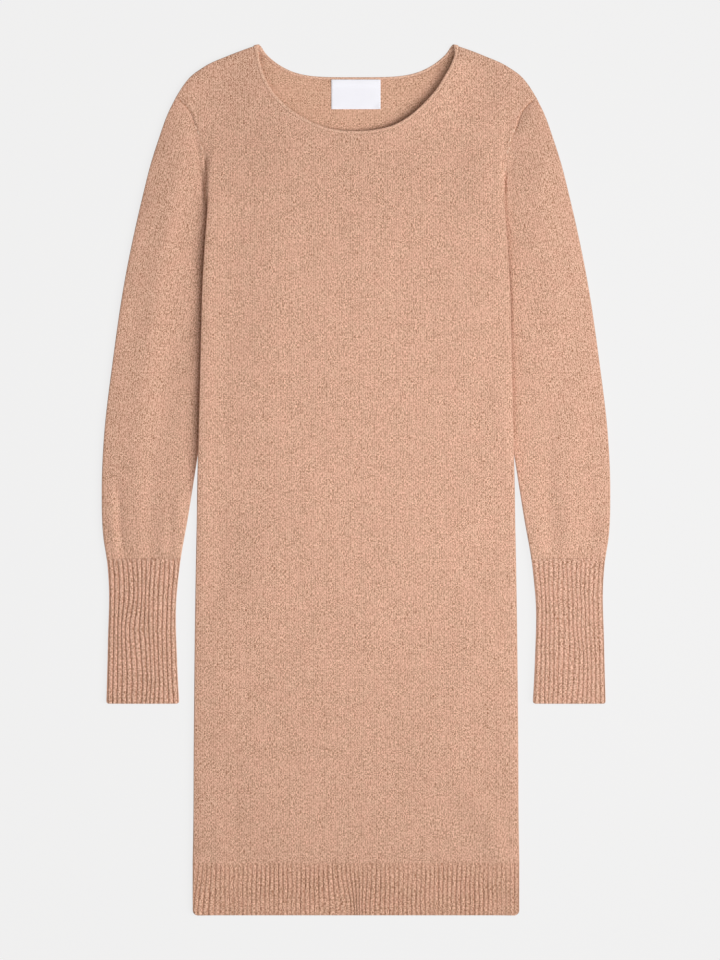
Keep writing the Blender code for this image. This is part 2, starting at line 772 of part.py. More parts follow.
def cuff_ring(skin, y, bottom_row):
    # Round a flattened rib cuff: (place round it, x, y, z).
    outer_x = sleeve_outer_x(y)
    inner_x = sleeve_inner_x(y)
    low = 2.0 * WALL + LAYER_GAP
    crown = 2.0 * CUFF_ROLL
    radius = CUFF_ROLL if skin == "outer" else CUFF_ROLL - WALL
    rolls = []
    for angle in ROLL_ANGLES:
        turn = math.radians(angle)
        rolls.append((CUFF_ROLL - radius * math.cos(turn), radius * math.sin(turn)))
    width = outer_x - inner_x
    if skin == "outer":
        middle = rib_columns(CUFF_ROLL, width - CUFF_ROLL, CUFF_RIBS)[1:-1]
    else:
        middle = [(width * share, 0.0) for share in CUFF_PLAIN_COLUMNS]
    ring = []
    for distance, rise in rolls:
        ring.append((distance / width, distance, CUFF_ROLL + rise))
    for distance, height in middle:
        near = min(distance, width - distance)
        dip = CUFF_DIP * smoothstep((near - CUFF_ROLL) / CUFF_DIP_REACH)
        z = mix(crown, low, dip) + height - (0.0 if skin == "outer" else WALL)
        ring.append((distance / width, distance, z))
    for distance, rise in rolls[::-1]:
        ring.append((1.0 - distance / width, width - distance, CUFF_ROLL + rise))
    for distance, rise in rolls[1:]:
        ring.append((1.0 + distance / width, width - distance, CUFF_ROLL - rise))
    for share in CUFF_PLAIN_COLUMNS[3:0:-1]:
        ring.append((2.0 - share, width * share, 0.0 if skin == "outer" else WALL))
    for distance, rise in rolls[:0:-1]:
        ring.append((2.0 - distance / width, distance, CUFF_ROLL - rise))
    points = []
    for place, distance, z in ring:
        lift = 0.0
        near = min(distance, width - distance)
        if bottom_row and near < CUFF_CORNER:
            lift = CUFF_CORNER - math.sqrt(CUFF_CORNER**2 - (CUFF_CORNER - near) ** 2)
        points.append((place, outer_x - distance, y + lift, z))
    return points


def make_cuff(name, side):
    cloth = Cloth()
    rims = []
    for skin in ("outer", "inner"):
        rings = []
        for y in CUFF_ROWS:
            ring = cuff_ring(skin, y, y == CUFF_END_Y)
            keys = cloth.add([(side * x, at, z) for place, x, at, z in ring])
            rings.append(keys + keys[:1])
        cloth.sheet(rings)
        rims.append((rings, [point[0] for point in ring] + [2.0]))
    outer, outer_at = rims[0]
    inner, inner_at = rims[1]
    for row in (0, -1):
        cloth.zipper(outer[row], outer_at, inner[row], inner_at)
    return cloth.build(name, RIB)


def clear_scene():
    for thing in list(bpy.data.objects):
        bpy.data.objects.remove(thing, do_unlink=True)


def make_dress():
    clear_scene()
    make_panel("front", 1)
    make_panel("back", -1)
    make_sleeve("sleeve_left", 1, LEFT_SLEEVE_FOLDS)
    make_sleeve("sleeve_right", -1, RIGHT_SLEEVE_FOLDS)
    make_cuff("cuff_left", 1)
    make_cuff("cuff_right", -1)
    make_hem("hem_front", 1)
    make_hem("hem_back", -1)
    make_neck_trim()
    make_label()


make_dress()
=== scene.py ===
# A fine knitted sweater dress, laid flat with its front up.
# +X is the wearer's left, +Y runs from hem to neck, +Z is up. Sizes are in millimetres,
# and a mesh becomes metres when it is built. Left and right are the wearer's.
import math
from functools import partial

import bmesh
import bpy
import numpy as np
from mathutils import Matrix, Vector
from mathutils.geometry import delaunay_2d_cdt


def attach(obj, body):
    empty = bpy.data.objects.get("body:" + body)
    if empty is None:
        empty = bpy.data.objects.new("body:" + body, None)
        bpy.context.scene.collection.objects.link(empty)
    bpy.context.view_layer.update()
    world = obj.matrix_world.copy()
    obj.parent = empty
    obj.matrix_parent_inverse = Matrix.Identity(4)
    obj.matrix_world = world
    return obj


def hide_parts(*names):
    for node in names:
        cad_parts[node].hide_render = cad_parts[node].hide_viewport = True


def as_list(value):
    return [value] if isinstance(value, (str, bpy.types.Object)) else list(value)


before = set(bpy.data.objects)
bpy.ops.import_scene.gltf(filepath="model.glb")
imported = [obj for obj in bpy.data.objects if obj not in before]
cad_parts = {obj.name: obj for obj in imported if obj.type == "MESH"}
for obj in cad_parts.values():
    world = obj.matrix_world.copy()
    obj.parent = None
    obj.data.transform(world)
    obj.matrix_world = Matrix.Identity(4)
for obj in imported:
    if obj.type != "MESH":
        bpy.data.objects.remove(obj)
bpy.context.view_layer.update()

mm = 0.001
leftSide = 1
rightSide = -1
frontFace = 1
backFace = -1


def smoothStep(value):
    value = np.clip(value, 0.0, 1.0)
    return value * value * (3.0 - 2.0 * value)


def ramp(value, start, end):
    # 0 at the start and before it, 1 from the end on, with a soft step between them.
    return smoothStep((value - start) / (end - start))


def bell(distance, half):
    # 1 at no distance, falling off on both sides.
    return np.exp(-((distance / half) ** 2))


def mix(first, second, share):
    return first + (second - first) * share


def readTable(table, place):
    # A smooth curve through a table's rows.
    places, values = np.array(table).T
    slopes = np.gradient(values, places)
    place = np.asarray(place, dtype=float)
    row = np.clip(np.searchsorted(places, place) - 1, 0, len(places) - 2)
    span = places[row + 1] - places[row]
    u = (place - places[row]) / span
    start = (2 * u**3 - 3 * u**2 + 1) * values[row] + (u**3 - 2 * u**2 + u) * span * slopes[row]
    end = (3 * u**2 - 2 * u**3) * values[row + 1] + (u**3 - u**2) * span * slopes[row + 1]
    return start + end


def distanceTo(line, x, y):
    # Distance of each point from a line, and where along the line it is nearest (0 to 1).
    x, y = np.broadcast_arrays(x, y)
    starts = line[:-1]
    spans = np.diff(line, axis=0)
    lengths = np.hypot(spans[:, 0], spans[:, 1])
    before = np.concatenate([[0.0], np.cumsum(lengths)])
    place = np.stack([np.ravel(x), np.ravel(y)], axis=1)
    best = np.full(len(place), 1e9)
    share = np.zeros(len(place))
    for start, span, length, reached in zip(starts, spans, lengths, before):
        along = np.clip(((place - start) @ span) / length**2, 0.0, 1.0)
        gap = np.hypot(*(place - start - along[:, None] * span).T)
        nearer = gap < best
        best = np.where(nearer, gap, best)
        share = np.where(nearer, (reached + along * length) / before[-1], share)
    return best.reshape(np.shape(x)), share.reshape(np.shape(x))


def rumple(x, y, size, seed):
    # Soft waves of about -1 to 1, with humps about one size across.
    chance = np.random.default_rng(seed)
    total = np.zeros(np.shape(x))
    for wave in range(9):
        turn = chance.uniform(0.0, math.tau)
        pitch = size * chance.uniform(1.3, 2.8)
        shift = chance.uniform(0.0, math.tau)
        total = total + np.sin((x * math.cos(turn) + y * math.sin(turn)) / pitch * math.tau + shift)
    return total / 3.2


def unevenness(humps, x, y):
    # Humps are rows of height, size and seed.
    return sum(height * rumple(x, y, size, seed) for height, size, seed in humps)


def hexColour(code):
    # An sRGB hex value as linear red, green, blue and alpha.
    values = [int(code[place : place + 2], 16) / 255 for place in (1, 3, 5)]
    linear = [v / 12.92 if v <= 0.04045 else ((v + 0.055) / 1.055) ** 2.4 for v in values]
    return tuple(linear) + (1.0,)


def fillInputs(tree, node, inputs):
    # Inputs are values, or nodes and sockets to link from, by order or by name.
    for name, value in inputs.items() if isinstance(inputs, dict) else enumerate(inputs):
        if isinstance(value, bpy.types.Node):
            value = next(socket for socket in value.outputs if socket.enabled)
        if isinstance(value, bpy.types.NodeSocket):
            tree.links.new(value, node.inputs[name])
        else:
            node.inputs[name].default_value = value


def addNode(tree, kind, inputs=(), **settings):
    # Adds a node. A short kind is a shader node's, and an operation may follow it.
    kind, *operation = kind.split()
    node = tree.nodes.new(kind if "Node" in kind else "ShaderNode" + kind)
    if operation:
        node.operation = operation[0]
    for name, value in settings.items():
        setattr(node, name, value)
    fillInputs(tree, node, inputs)
    return node


def startMaterial(name):
    material = bpy.data.materials.new(name)
    material.use_nodes = True
    return material, material.node_tree, material.node_tree.nodes["Principled BSDF"]


def addObject(name, data):
    thing = bpy.data.objects.new(name, data)
    bpy.context.collection.objects.link(thing)
    return thing


# Camera, floor and light

studio = {
    "cameraHeight": 2.8,  # metres
    "lens": 100.0,
    "middle": (0.0042, 0.0005),
    "floorColour": "#4A4A4B",
    "floorGlow": 0.805,
    "keyStrength": 2.28,
    "keyElevation": 42.0,  # degrees above the floor
    "keyTurn": -12.0,  # degrees from +X towards +Y
    "keySpread": 34.0,
    "worldColour": "#FFF2E6",  # light from warm white walls
    "worldStrength": 0.265,
    "overheadPower": 3.5,  # watts
    "overheadPlace": (0.23, 0.035, 0.85),
    "overheadSize": 0.6,
}

camera = addObject("camera", bpy.data.cameras.new("camera"))
camera.data.lens = studio["lens"]
camera.data.sensor_width = 36.0
camera.data.clip_end = 50.0
camera.location = (*studio["middle"], studio["cameraHeight"])
bpy.context.scene.camera = camera
bpy.context.scene.view_settings.view_transform = "Standard"

# Matt painted board, lit from below as well, so that shadows on it stay faint.
board, boardTree, boardShader = startMaterial("paintedBoard")
boardLook = {
    "Base Color": hexColour(studio["floorColour"]),
    "Roughness": 0.9,
    "Specular IOR Level": 0.1,
    "Emission Color": (1.0, 1.0, 1.0, 1.0),
    "Emission Strength": studio["floorGlow"],
}
fillInputs(boardTree, boardShader, boardLook)
floor = addObject("floor", bpy.data.meshes.new("floor"))
floorCorners = [(x, y, -2e-4) for x, y in ((-4, -4), (4, -4), (4, 4), (-4, 4))]
floor.data.from_pydata(floorCorners, [], [(0, 1, 2, 3)])
floor.data.materials.append(board)

world = bpy.data.worlds.new("studio")
world.use_nodes = True
bpy.context.scene.world = world
worldLook = {"Color": hexColour(studio["worldColour"]), "Strength": studio["worldStrength"]}
fillInputs(world.node_tree, world.node_tree.nodes["Background"], worldLook)

key = addObject("key", bpy.data.lights.new("key", "SUN"))
key.data.energy = studio["keyStrength"]
key.data.angle = math.radians(studio["keySpread"])
key.data.color = (1.0, 0.985, 0.965)
turn = math.radians(studio["keyTurn"])
rise = math.radians(studio["keyElevation"])
towards = Vector((math.cos(rise) * math.cos(turn), math.cos(rise) * math.sin(turn), math.sin(rise)))
key.rotation_euler = towards.to_track_quat("Z", "Y").to_euler()

overhead = addObject("overhead", bpy.data.lights.new("overhead", "AREA"))
overhead.data.shape = "DISK"
overhead.data.size = studio["overheadSize"]
overhead.data.energy = studio["overheadPower"]
overhead.location = studio["overheadPlace"]
overhead.visible_camera = False
print("camera, floor and lights are set")


# Materials

yarn = {
    "walePitch": 2.28,  # one column of stitches
    "coursePitch": 1.75,  # one row of stitches
    "waist": 0.9,  # how much a leg thins towards its ends
    "roundness": 0.6,
    "fibres": 0.5,  # fibres that stand out of the yarn blur the loops by this
    "tuft": 1.1,  # coarser than a real tuft of fibres, so that it shows from above
    "bump": 0.5,
    "streakLength": 9.0,
    "sheen": 0.25,
    "sheenColour": "#F6DCC8",
}
jerseyLook = {
    "light": "#F3CAB3",
    "dark": "#8B5B3E",
    "rose": "#E3AE9B",
    "slant": 0.85,  # how far a stitch's legs rise, in rows
    "gap": 0.30,  # painted shade: how much darker the gaps inside a stitch are
    "columnGapShade": 0.30,  # and the painted shade in those between columns
    "tuft": 0.50,  # fibre tufts of lighter and darker yarn
    "pair": 0.68,
    "streak": 0.3,  # along the yarn
    "mottle": 0.1,
    "valley": 0.0,  # painted shade in a rib's valleys: how much darker they are; each rib takes two columns
}
purlLook = dict(
    jerseyLook, light="#F3C8AE", rose="#E5B09A", slant=0.0, columnGapShade=0.2, tuft=0.4, pair=0.52
)
ribLook = dict(jerseyLook, light="#F8CFB9", pair=0.85, valley=0.42)
# A copy of the rib with less painted shade in its valleys, so that the cuff on the lit side reads
# lighter: painted light.
ribPaintedLightLook = dict(ribLook, valley=0.27)
hemLook = dict(ribLook, light="#F3C9B1", valley=0.34)
# The trim's knit is painted lighter, with less shade in its gaps, as a painted highlight on its lit
# roll.
trimHighlightLook = dict(jerseyLook, light="#F8D0B8", gap=0.08, columnGapShade=0.08, tuft=0.3)


def knitMaterial(name, look):
    # Cashmere: two-ply woollen-spun yarn knitted to plain loops, so each column shows small
    # Vs, in a heather of pale, brown and rose fibres under a soft matt bloom.
    material, tree, shader = startMaterial(name)
    add = partial(addNode, tree)
    place = add("SeparateXYZ", [add("UVMap", uv_map="knit")])
    u = place.outputs["X"]
    v = place.outputs["Y"]

    # One stitch: two legs that rise outwards from the middle of its column.
    wale = add("Math MULTIPLY_ADD", [u, 1.0 / yarn["walePitch"], 0.5])
    waleShare = add("Math FRACT", [wale])
    side = add("Math ABSOLUTE", [add("Math MULTIPLY_ADD", [waleShare, 2.0, -1.0])])
    rising = add("Math MULTIPLY", [side, look["slant"]])
    if look["valley"]:
        ribShare = add("Math FRACT", [add("Math MULTIPLY", [u, 0.5 / yarn["walePitch"]])])
        fromRidge = add("Math ABSOLUTE", [add("Math MULTIPLY_ADD", [ribShare, 2.0, -1.0])])
        valley = add("MapRange", [fromRidge, 0.58, 0.92, 0.0, 1.0], interpolation_type="SMOOTHSTEP")
        rising = add("Math MULTIPLY", [rising, add("Math SUBTRACT", [1.0, valley])])
    course = add("Math SUBTRACT", [add("Math MULTIPLY", [v, 1.0 / yarn["coursePitch"]]), rising])
    acrossLeg = add("Math MULTIPLY_ADD", [add("Math FRACT", [course]), 2.0, -1.0])
    leg = add("Math SUBTRACT", [1.0, add("Math MULTIPLY", [acrossLeg, acrossLeg])])
    alongLeg = add("Math MULTIPLY_ADD", [side, 2.0, -1.0])
    thick = add("Math MULTIPLY_ADD", [add("Math MULTIPLY", [alongLeg, alongLeg]), -yarn["waist"], 1.0])
    loop = add("Math POWER", [add("Math MULTIPLY", [leg, thick]), yarn["roundness"]])
    fibrePlace = add("CombineXYZ", [u, v, 0.0])
    fibres = add("TexNoise", {"Vector": fibrePlace, "Scale": 2.2, "Detail": 3.0, "Roughness": 0.7})
    height = add("Math MULTIPLY_ADD", [fibres, yarn["fibres"], loop])
    bump = add("Bump", {"Height": height, "Strength": yarn["bump"], "Distance": 0.0005})

    # Tufts of lighter and darker fibres. Neighbours in a row, and in a column, differ in pairs.
    legNumber = add("Math FLOOR", [add("Math MULTIPLY", [wale, 2.0])])
    tuftRow = add("Math SUBTRACT", [add("Math MULTIPLY", [v, 1.0 / yarn["tuft"]]), rising])
    tuftNumber = add("Math FLOOR", [tuftRow])
    tuftPlace = add("CombineXYZ", [legNumber, tuftNumber, 0.0])
    tuft = add("TexWhiteNoise", [tuftPlace], noise_dimensions="2D")
    rowPlace = add("CombineXYZ", [add("Math FLOOR", [wale]), tuftNumber, 7.0])
    rowPair = add("TexWhiteNoise", [rowPlace], noise_dimensions="3D")
    rowSign = add("Math SIGN", [add("Math SUBTRACT", [waleShare, 0.5])])
    twoTufts = add("Math FLOOR", [add("Math MULTIPLY", [tuftNumber, 0.5])])
    columnPlace = add("CombineXYZ", [legNumber, twoTufts, 3.0])
    columnPair = add("TexWhiteNoise", [columnPlace], noise_dimensions="3D")
    columnSign = add("Math MULTIPLY_ADD", [add("Math FLOORED_MODULO", [tuftNumber, 2.0]), 2.0, -1.0])
    acrossStreak = add("Math DIVIDE", [u, yarn["streakLength"]])
    ownStreak = add("Math MULTIPLY", [add("Math FLOOR", [course]), 3.7])
    streakPlace = add("CombineXYZ", [acrossStreak, ownStreak, 0.0])
    streak = add("TexNoise", {"Vector": streakPlace, "Scale": 1.0, "Detail": 2.0})
    mottle = add("TexNoise", {"Vector": fibrePlace, "Scale": 0.03, "Detail": 3.0})
    between = add("MapRange", [side, 0.55, 1.0, 0.0, 1.0])

    # Each swing changes the tone by its share. The first two are painted shade in the gaps within and
    # between stitches.
    tone = 1.0
    for swing, share in (
        (add("Math SUBTRACT", [1.0, loop]), -look["gap"]),
        (between, -look["columnGapShade"]),
        (add("Math SUBTRACT", [tuft, 0.5]), look["tuft"]),
        (add("Math MULTIPLY", [add("Math SUBTRACT", [rowPair, 0.5]), rowSign]), look["pair"]),
        (add("Math MULTIPLY", [add("Math SUBTRACT", [columnPair, 0.5]), columnSign]), look["pair"]),
        (add("Math SUBTRACT", [streak, 0.5]), look["streak"]),
        (add("Math SUBTRACT", [mottle, 0.5]), look["mottle"]),
    ):
        tone = add("Math MULTIPLY_ADD", [swing, share, tone])
    # Painted shade: the ribs' valleys are darkened.
    if look["valley"]:
        tone = add("Math MULTIPLY", [tone, add("Math MULTIPLY_ADD", [valley, -look["valley"], 1.0])])
    shade = add("MapRange", [tone, 0.15, 1.35, 0.0, 1.0])
    colours = {"Factor": shade, "A": hexColour(look["dark"]), "B": hexColour(look["light"])}
    heather = add("Mix", colours, data_type="RGBA")
    hue = add("TexNoise", {"Vector": fibrePlace, "Scale": 0.055, "Detail": 2.0})
    rosy = add("MapRange", [hue, 0.40, 0.65, 0.0, 0.22])
    colours = {"Factor": rosy, "A": heather, "B": hexColour(look["rose"])}
    wool = {
        "Base Color": add("Mix", colours, data_type="RGBA"),
        "Roughness": 0.95,
        "Specular IOR Level": 0.15,
        "Sheen Weight": yarn["sheen"],
        "Sheen Roughness": 0.6,
        "Sheen Tint": hexColour(yarn["sheenColour"]),
        "Normal": bump,
    }
    fillInputs(tree, shader, wool)
    return material


cashmereJersey = knitMaterial("cashmereJersey", jerseyLook)
cashmerePurl = knitMaterial("cashmerePurlSide", purlLook)
cashmereRib = knitMaterial("cashmereRib", ribLook)
cashmereRibPaintedLight = knitMaterial("cashmereRibPaintedLight", ribPaintedLightLook)  # the lit cuff's copy, with less painted shade in its valleys
cashmereHemRib = knitMaterial("cashmereHemRib", hemLook)
cashmereTrimPaintedHighlight = knitMaterial("cashmereRolledTrimPaintedHighlight", trimHighlightLook)


def threadMaterial(name, code, roughness, sheen=0.0):
    # Spun thread: fine fibres, a little lighter and darker.
    material, tree, shader = startMaterial(name)
    where = addNode(tree, "TexCoord").outputs["Object"]
    fibres = addNode(tree, "TexNoise", {"Vector": where, "Scale": 1500.0, "Detail": 3.0})
    light = hexColour(code)
    dark = tuple(value * 0.8 for value in light[:3]) + (1.0,)
    thread = {
        "Base Color": addNode(tree, "Mix", {"Factor": fibres, "A": dark, "B": light}, data_type="RGBA"),
        "Roughness": roughness,
        "Specular IOR Level": 0.2,
        "Sheen Weight": sheen,
    }
    fillInputs(tree, shader, thread)
    return material


linkingYarn = threadMaterial("cashmereLinkingYarn", "#C08E70", 0.95, 0.2)
# The narrowing marks' yarn is painted lighter: a painted highlight on their raised stitches.
markHighlightYarn = threadMaterial("cashmereMarkYarnPaintedHighlight", "#F0CFB8", 0.95, 0.2)
labelThread = threadMaterial("polyesterThread", "#F4F2F6", 0.5)


def labelMaterial():
    # Woven polyester satin: fine close threads, a clean white with a slight lilac cast.
    material, tree, shader = startMaterial("polyesterSatinLabel")
    place = addNode(tree, "SeparateXYZ", [addNode(tree, "UVMap", uv_map="knit")])
    down = addNode(tree, "Math MULTIPLY", [place.outputs["Y"], math.tau / 0.35])
    threads = addNode(tree, "Math SINE", [down])
    satin = {
        "Base Color": hexColour("#F1F4FE"),
        "Roughness": 0.45,
        "Specular IOR Level": 0.35,
        "Normal": addNode(tree, "Bump", {"Height": threads, "Strength": 0.3, "Distance": 0.00008}),
    }
    fillInputs(tree, shader, satin)
    return material


satinLabel = labelMaterial()
print("materials are made")


# Outlines of the lying dress

cloth = {
    "wall": 2.0,  # folded knit, as it lies
    "seamGap": 0.1,
    "layerGap": 0.6,
    "roll": 3.0,  # half the height of a folded edge
    "narrow": 0.35,  # its width as a share of that
    "rimReach": 25.0,
    "spacing": 4.0,  # between the points of a panel
    "closerRows": (0.9, 2.0, 3.2),  # further rows of points, at these distances from a seam
}
low = 2.0 * cloth["wall"] + cloth["layerGap"]
rim = 2.0 * cloth["roll"] - low
foldWidth = cloth["narrow"] * cloth["roll"]

body = {
    "hemY": -456.0,
    "hemSeamY": -400.6,
    "tipY": 401.6,
    "tipSlope": 0.665,
    "footY": 300.0,  # of the armhole
    "cuffY": -82.0,
    "lift": 7.0,  # its sides lie on the tucked sleeves
    "liftStartY": {leftSide: 368.0, rightSide: 382.0},
    "liftFullY": 292.0,
    "liftFootFullY": -8.0,
    "liftFootEndY": -50.0,
    "liftRamp": 58.0,
    "liftMargin": 6.0,
    "jointSink": 0.8,  # share of the lift that is lost outside the fold, and from where to where
    "jointStartY": 364.0,
    "jointFullY": 318.0,
    "jointEndY": 284.0,
}
# Each row is y and half width.
sideEdge = (
    (-456, 172.2), (-419, 171.7), (-388, 171.1), (-356, 170.6), (-293, 170.3), (-230, 169.8),
    (-84, 167.9), (0, 166), (60, 164.7), (141, 162.7), (210, 160.8), (264, 157.3), (284, 155.8),
    (300, 155.4),
)
armhole = ((300, 155.4), (323, 157.5), (348.6, 161.2), (372.8, 169), (390, 176.7), (401.6, 189.1))
sleeveOuter = (
    (-234, 261.9), (-170, 260.3), (-105, 259.5), (-82, 261.5), (-62.5, 264.6),
    (-10, 266.7), (42.5, 264.6), (126.5, 255), (210.5, 242.5), (294.5, 224.7),
    (336.5, 214), (357.5, 207.2), (387, 196.4), (401.6, 189.1),
)
sleeveInner = (
    (-234, 185.4), (-188, 187.6), (-125, 188.3), (-104, 186.4), (-82, 183.8),
    (-41.5, 176.7), (0.5, 170), (84.5, 157), (189.5, 141.2), (242, 134),
)
# Here each row is half width and y.
shoulder = (
    (102, 457), (106.6, 455.6), (134.3, 445.4), (160.7, 433), (176.5, 420.4), (185, 408.5),
    (189.1, 401.6),
)

neck = {
    "half": 104.5,
    "bottomY": {frontFace: 365.9, backFace: 423.3},
    "shape": {frontFace: (2.08, 0.481), backFace: (4.3, 1.26)},  # powers of its curve
    "trimWidth": 3.2,
    "trimBulge": 0.4,  # how much fuller the trim's back is
    "knob": 1.3,  # the trim stands out where it turns over the shoulder's fold
    "knobReach": 6.0,
    "lift": {leftSide: 4.6, rightSide: 0.8},  # the front's scoop stands up off the back
    "liftReach": 17.0,
    "liftX": (-40.0, 60.0),
    "lean": {leftSide: 5.8, rightSide: 2.0},  # and leans in over it
    "leanReach": 20.0,
    # From where to where the lean grows, in x and in shares of the scoop's half, and ends
    "leanX": {leftSide: (10.0, 40.0), rightSide: (-24.0, -64.0)},
    "leanAlong": {leftSide: (0.0, 0.3), rightSide: (0.0, 0.08)},
    "leanEnd": (0.78, 0.43),
    "leanToX": {leftSide: 40.0, rightSide: -20.0},
    "leanToY": {leftSide: 475.0, rightSide: 450.0},
    "press": 1.1,  # how deep the scoop's right half sinks into the back
    "pressX": (-6.0, -66.0),
    "pressReach": (6.6, 2.4),
}


def bySide(values, x):
    return np.where(x > 0, values[leftSide], values[rightSide])


def sideX(y):
    # The body's side edge, which ends at the armhole's foot.
    return readTable(sideEdge, np.minimum(y, body["footY"]))


def bodyEdgeX(y):
    return np.where(y > body["footY"], readTable(armhole, np.minimum(y, body["tipY"])), sideX(y))


def tableLine(table, startY, endY, count):
    y = np.linspace(startY, endY, count)
    return np.stack([readTable(table, y), y], axis=1)


# The folded edge from the neck over the shoulder and down the sleeve, and the armhole's seam
shoulderX = np.linspace(neck["half"], shoulder[-1][0] - 1.0, 30)
foldedLine = np.concatenate(
    [
        np.stack([shoulderX, readTable(shoulder, shoulderX)], axis=1),
        tableLine(sleeveOuter, body["tipY"], body["cuffY"], 60),
    ]
)
seamLine = tableLine(armhole, body["tipY"], body["footY"], 50)


def fromFold(x, y):
    return distanceTo(foldedLine, np.abs(x), y)[0]


def leanIn(x, y):
    # Places at the front's scoop, moved towards the middle of the neck.
    gap, along = distanceTo(scoopLine, np.abs(x), y)
    onLeft, onRight = (
        neck["lean"][side] * ramp(x, *neck["leanX"][side]) * ramp(along, *neck["leanAlong"][side])
        for side in (leftSide, rightSide)
    )
    share = (onLeft * ramp(along, *neck["leanEnd"]) + onRight) * bell(gap, neck["leanReach"])
    toX = bySide(neck["leanToX"], x) - x
    toY = bySide(neck["leanToY"], x) - y
    length = np.hypot(toX, toY)
    return x + share * toX / length, y + share * toY / length


def neckY(face, offset, x):
    # The scoop's height at a half width, grown by offset.
    half = neck["half"] + offset
    top = readTable(shoulder, half)
    first, second = neck["shape"][face]
    share = np.clip(np.abs(x) / half, 0.0, 1.0)
    return top - (top - neck["bottomY"][face] + offset) * (1.0 - share**first) ** second


def neckCurve(face, offset, angle):
    # A place on the scoop from the neck point (0 degrees) to the middle (90).
    x = (neck["half"] + offset) * np.maximum(0.0, np.cos(np.radians(angle)))
    return x, neckY(face, offset, x)


def neckNearFold(face, offset, drop):
    # A place on the scoop just under the shoulder's fold.
    half = neck["half"] + offset
    top = readTable(shoulder, half)
    depth = top - neck["bottomY"][face] + offset
    first, second = neck["shape"][face]
    return half * (1.0 - (drop / depth) ** (1.0 / second)) ** (1.0 / first), top - drop


def neckLine(face, offset):
    return np.stack(neckCurve(face, offset, np.linspace(0.0, 90.0, 60)), axis=1)


scoopLine = neckLine(frontFace, 0.0)
trimLine = neckLine(frontFace, neck["trimWidth"])


# Heights of the lying cloth

# Pairs are from where to where something changes, in x, in y or in from an edge.
front = {
    "lift": 0.95,  # its middle's share of the sides' lift
    "liftTopY": (400.0, 250.0),
    "liftFootY": (-150.0, 60.0),
    "liftInset": (12.0, 87.0),
    "loft": 2.0,  # air under it
    "loftInset": (3.0, 26.0),  # start and length
    "loftFold": 24.0,
    "loftHem": 80.0,
    # The lower right part lies flatter beside its edge.
    "flatX": (-10.0, -30.0),
    "flatY": (-150.0, -90.0),
    "flatInset": (24.0, 60.0),
    "humps": ((0.45, 60.0, 3), (0.2, 26.0, 4)),
}
creases = {
    "ridgeHeight": 0.7,
    "ridgeHalf": 3.2,
    "seamDepth": 0.4,
    "seamHalf": 1.2,
    "linkDepth": 0.7,  # the linked seam's own fine groove, above this
    "linkFootY": 360.0,
    "linkReach": 10.0,
    "linkRidge": 0.5,
    # The crease where the body starts to fold over the sleeve: its place off the body's
    # side edge by y, its half width, its slope's width and where it starts.
    "foldShift": {
        leftSide: ((284, -0.4), (300, -0.4), (345, -2.4)),
        rightSide: ((264, -0.4), (284, 1.9), (300, 2.3), (322, 1.9), (345, 0.6)),
    },
    "foldDepth": 1.3,
    "foldOut": 1.6,  # the crease's bottom lies outside the fold
    "slopeOut": -3.4,  # and its slope starts inside it
    "foldHalf": {leftSide: 1.1, rightSide: 2.3},
    "foldSlope": {leftSide: 5.0, rightSide: 8.0},
    "foldY": {leftSide: 330.0, rightSide: 348.0},
    "foldReach": 14.0,
    # The trim's groove fades sideways: how far, and from where to where in x.
    "trimFades": ((9.0, 20.0, 50.0), (2.4, 30.0, -10.0)),
}


def rimShare(distance):
    return 1.0 - ramp(distance, cloth["roll"], cloth["roll"] + cloth["rimReach"])


def sideRoll(y):
    # How far the side edge is folded: flush at the armhole's foot, full below it.
    return ramp(y, body["footY"], body["liftFullY"])


def foldX(x, y):
    # The body's fold over the sleeve goes on straight up from its side edge.
    shift = {side: readTable(table, y) for side, table in creases["foldShift"].items()}
    return sideX(y) + bySide(shift, x)


def jointShare(x, y):
    # The part of the lift that is left outside the fold, beside the armhole's seam.
    along = ramp(y, body["jointStartY"], body["jointFullY"]) * ramp(y, body["jointEndY"], body["footY"])
    outside = np.abs(x) - foldX(x, y) - creases["slopeOut"]
    return 1.0 - body["jointSink"] * along * ramp(outside, 0.0, bySide(creases["foldSlope"], x))


def liftAlong(x, y):
    # How much of the lift there is at a height: it starts over the armhole's foot and ends
    # where the sleeve comes clear.
    down = ramp(y, bySide(body["liftStartY"], x), body["liftFullY"])
    return down * ramp(y, body["liftFootEndY"], body["liftFootFullY"])


def bodyLift(x, y):
    # The body climbs onto the sleeve that is tucked under its side.
    tuckedX = readTable(sleeveInner, np.minimum(y, sleeveInner[-1][0]))
    levelX = np.minimum(tuckedX, sideX(y)) - body["liftMargin"]
    across = ramp(np.abs(x), levelX - body["liftRamp"], levelX)
    return body["lift"] * liftAlong(x, y) * across * jointShare(x, y)


def frontLift(x, y):
    # The front spans from one lifted side to the other, and sinks slowly towards the hem.
    middle = front["lift"] * ramp(y, *front["liftTopY"]) * ramp(y, *front["liftFootY"])
    inner = ramp(bodyEdgeX(y) - np.abs(x), *front["liftInset"])
    return body["lift"] * mix(liftAlong(x, y), middle, inner) * jointShare(x, y)


def frontLoft(x, y):
    # Air under the front, none at its folded edges, its armholes and its hem.
    folded = ramp(fromFold(x, y), cloth["roll"], cloth["roll"] + front["loftFold"])
    flat = ramp(x, *front["flatX"]) * ramp(y, *front["flatY"])
    start, length = (mix(*ends, flat) for ends in zip(front["loftInset"], front["flatInset"]))
    share = folded * ramp(bodyEdgeX(y) - np.abs(x), start, start + length)
    aboveHem = ramp(y, body["hemY"], body["hemY"] + front["loftHem"])
    gap, along = distanceTo(scoopLine, np.abs(x), y)
    onLeft = ramp(x, *neck["liftX"])
    lift = mix(neck["lift"][rightSide], neck["lift"][leftSide], onLeft)
    standing = lift * bell(gap, neck["liftReach"]) * ramp(along, 0.0, mix(0.3, 0.1, onLeft))
    standing = standing * mix(share, 1.0, 0.6 * onLeft) / np.maximum(share, 0.05)
    uneven = unevenness(front["humps"], x, y)
    return (front["loft"] * aboveHem + standing + uneven * aboveHem) * share


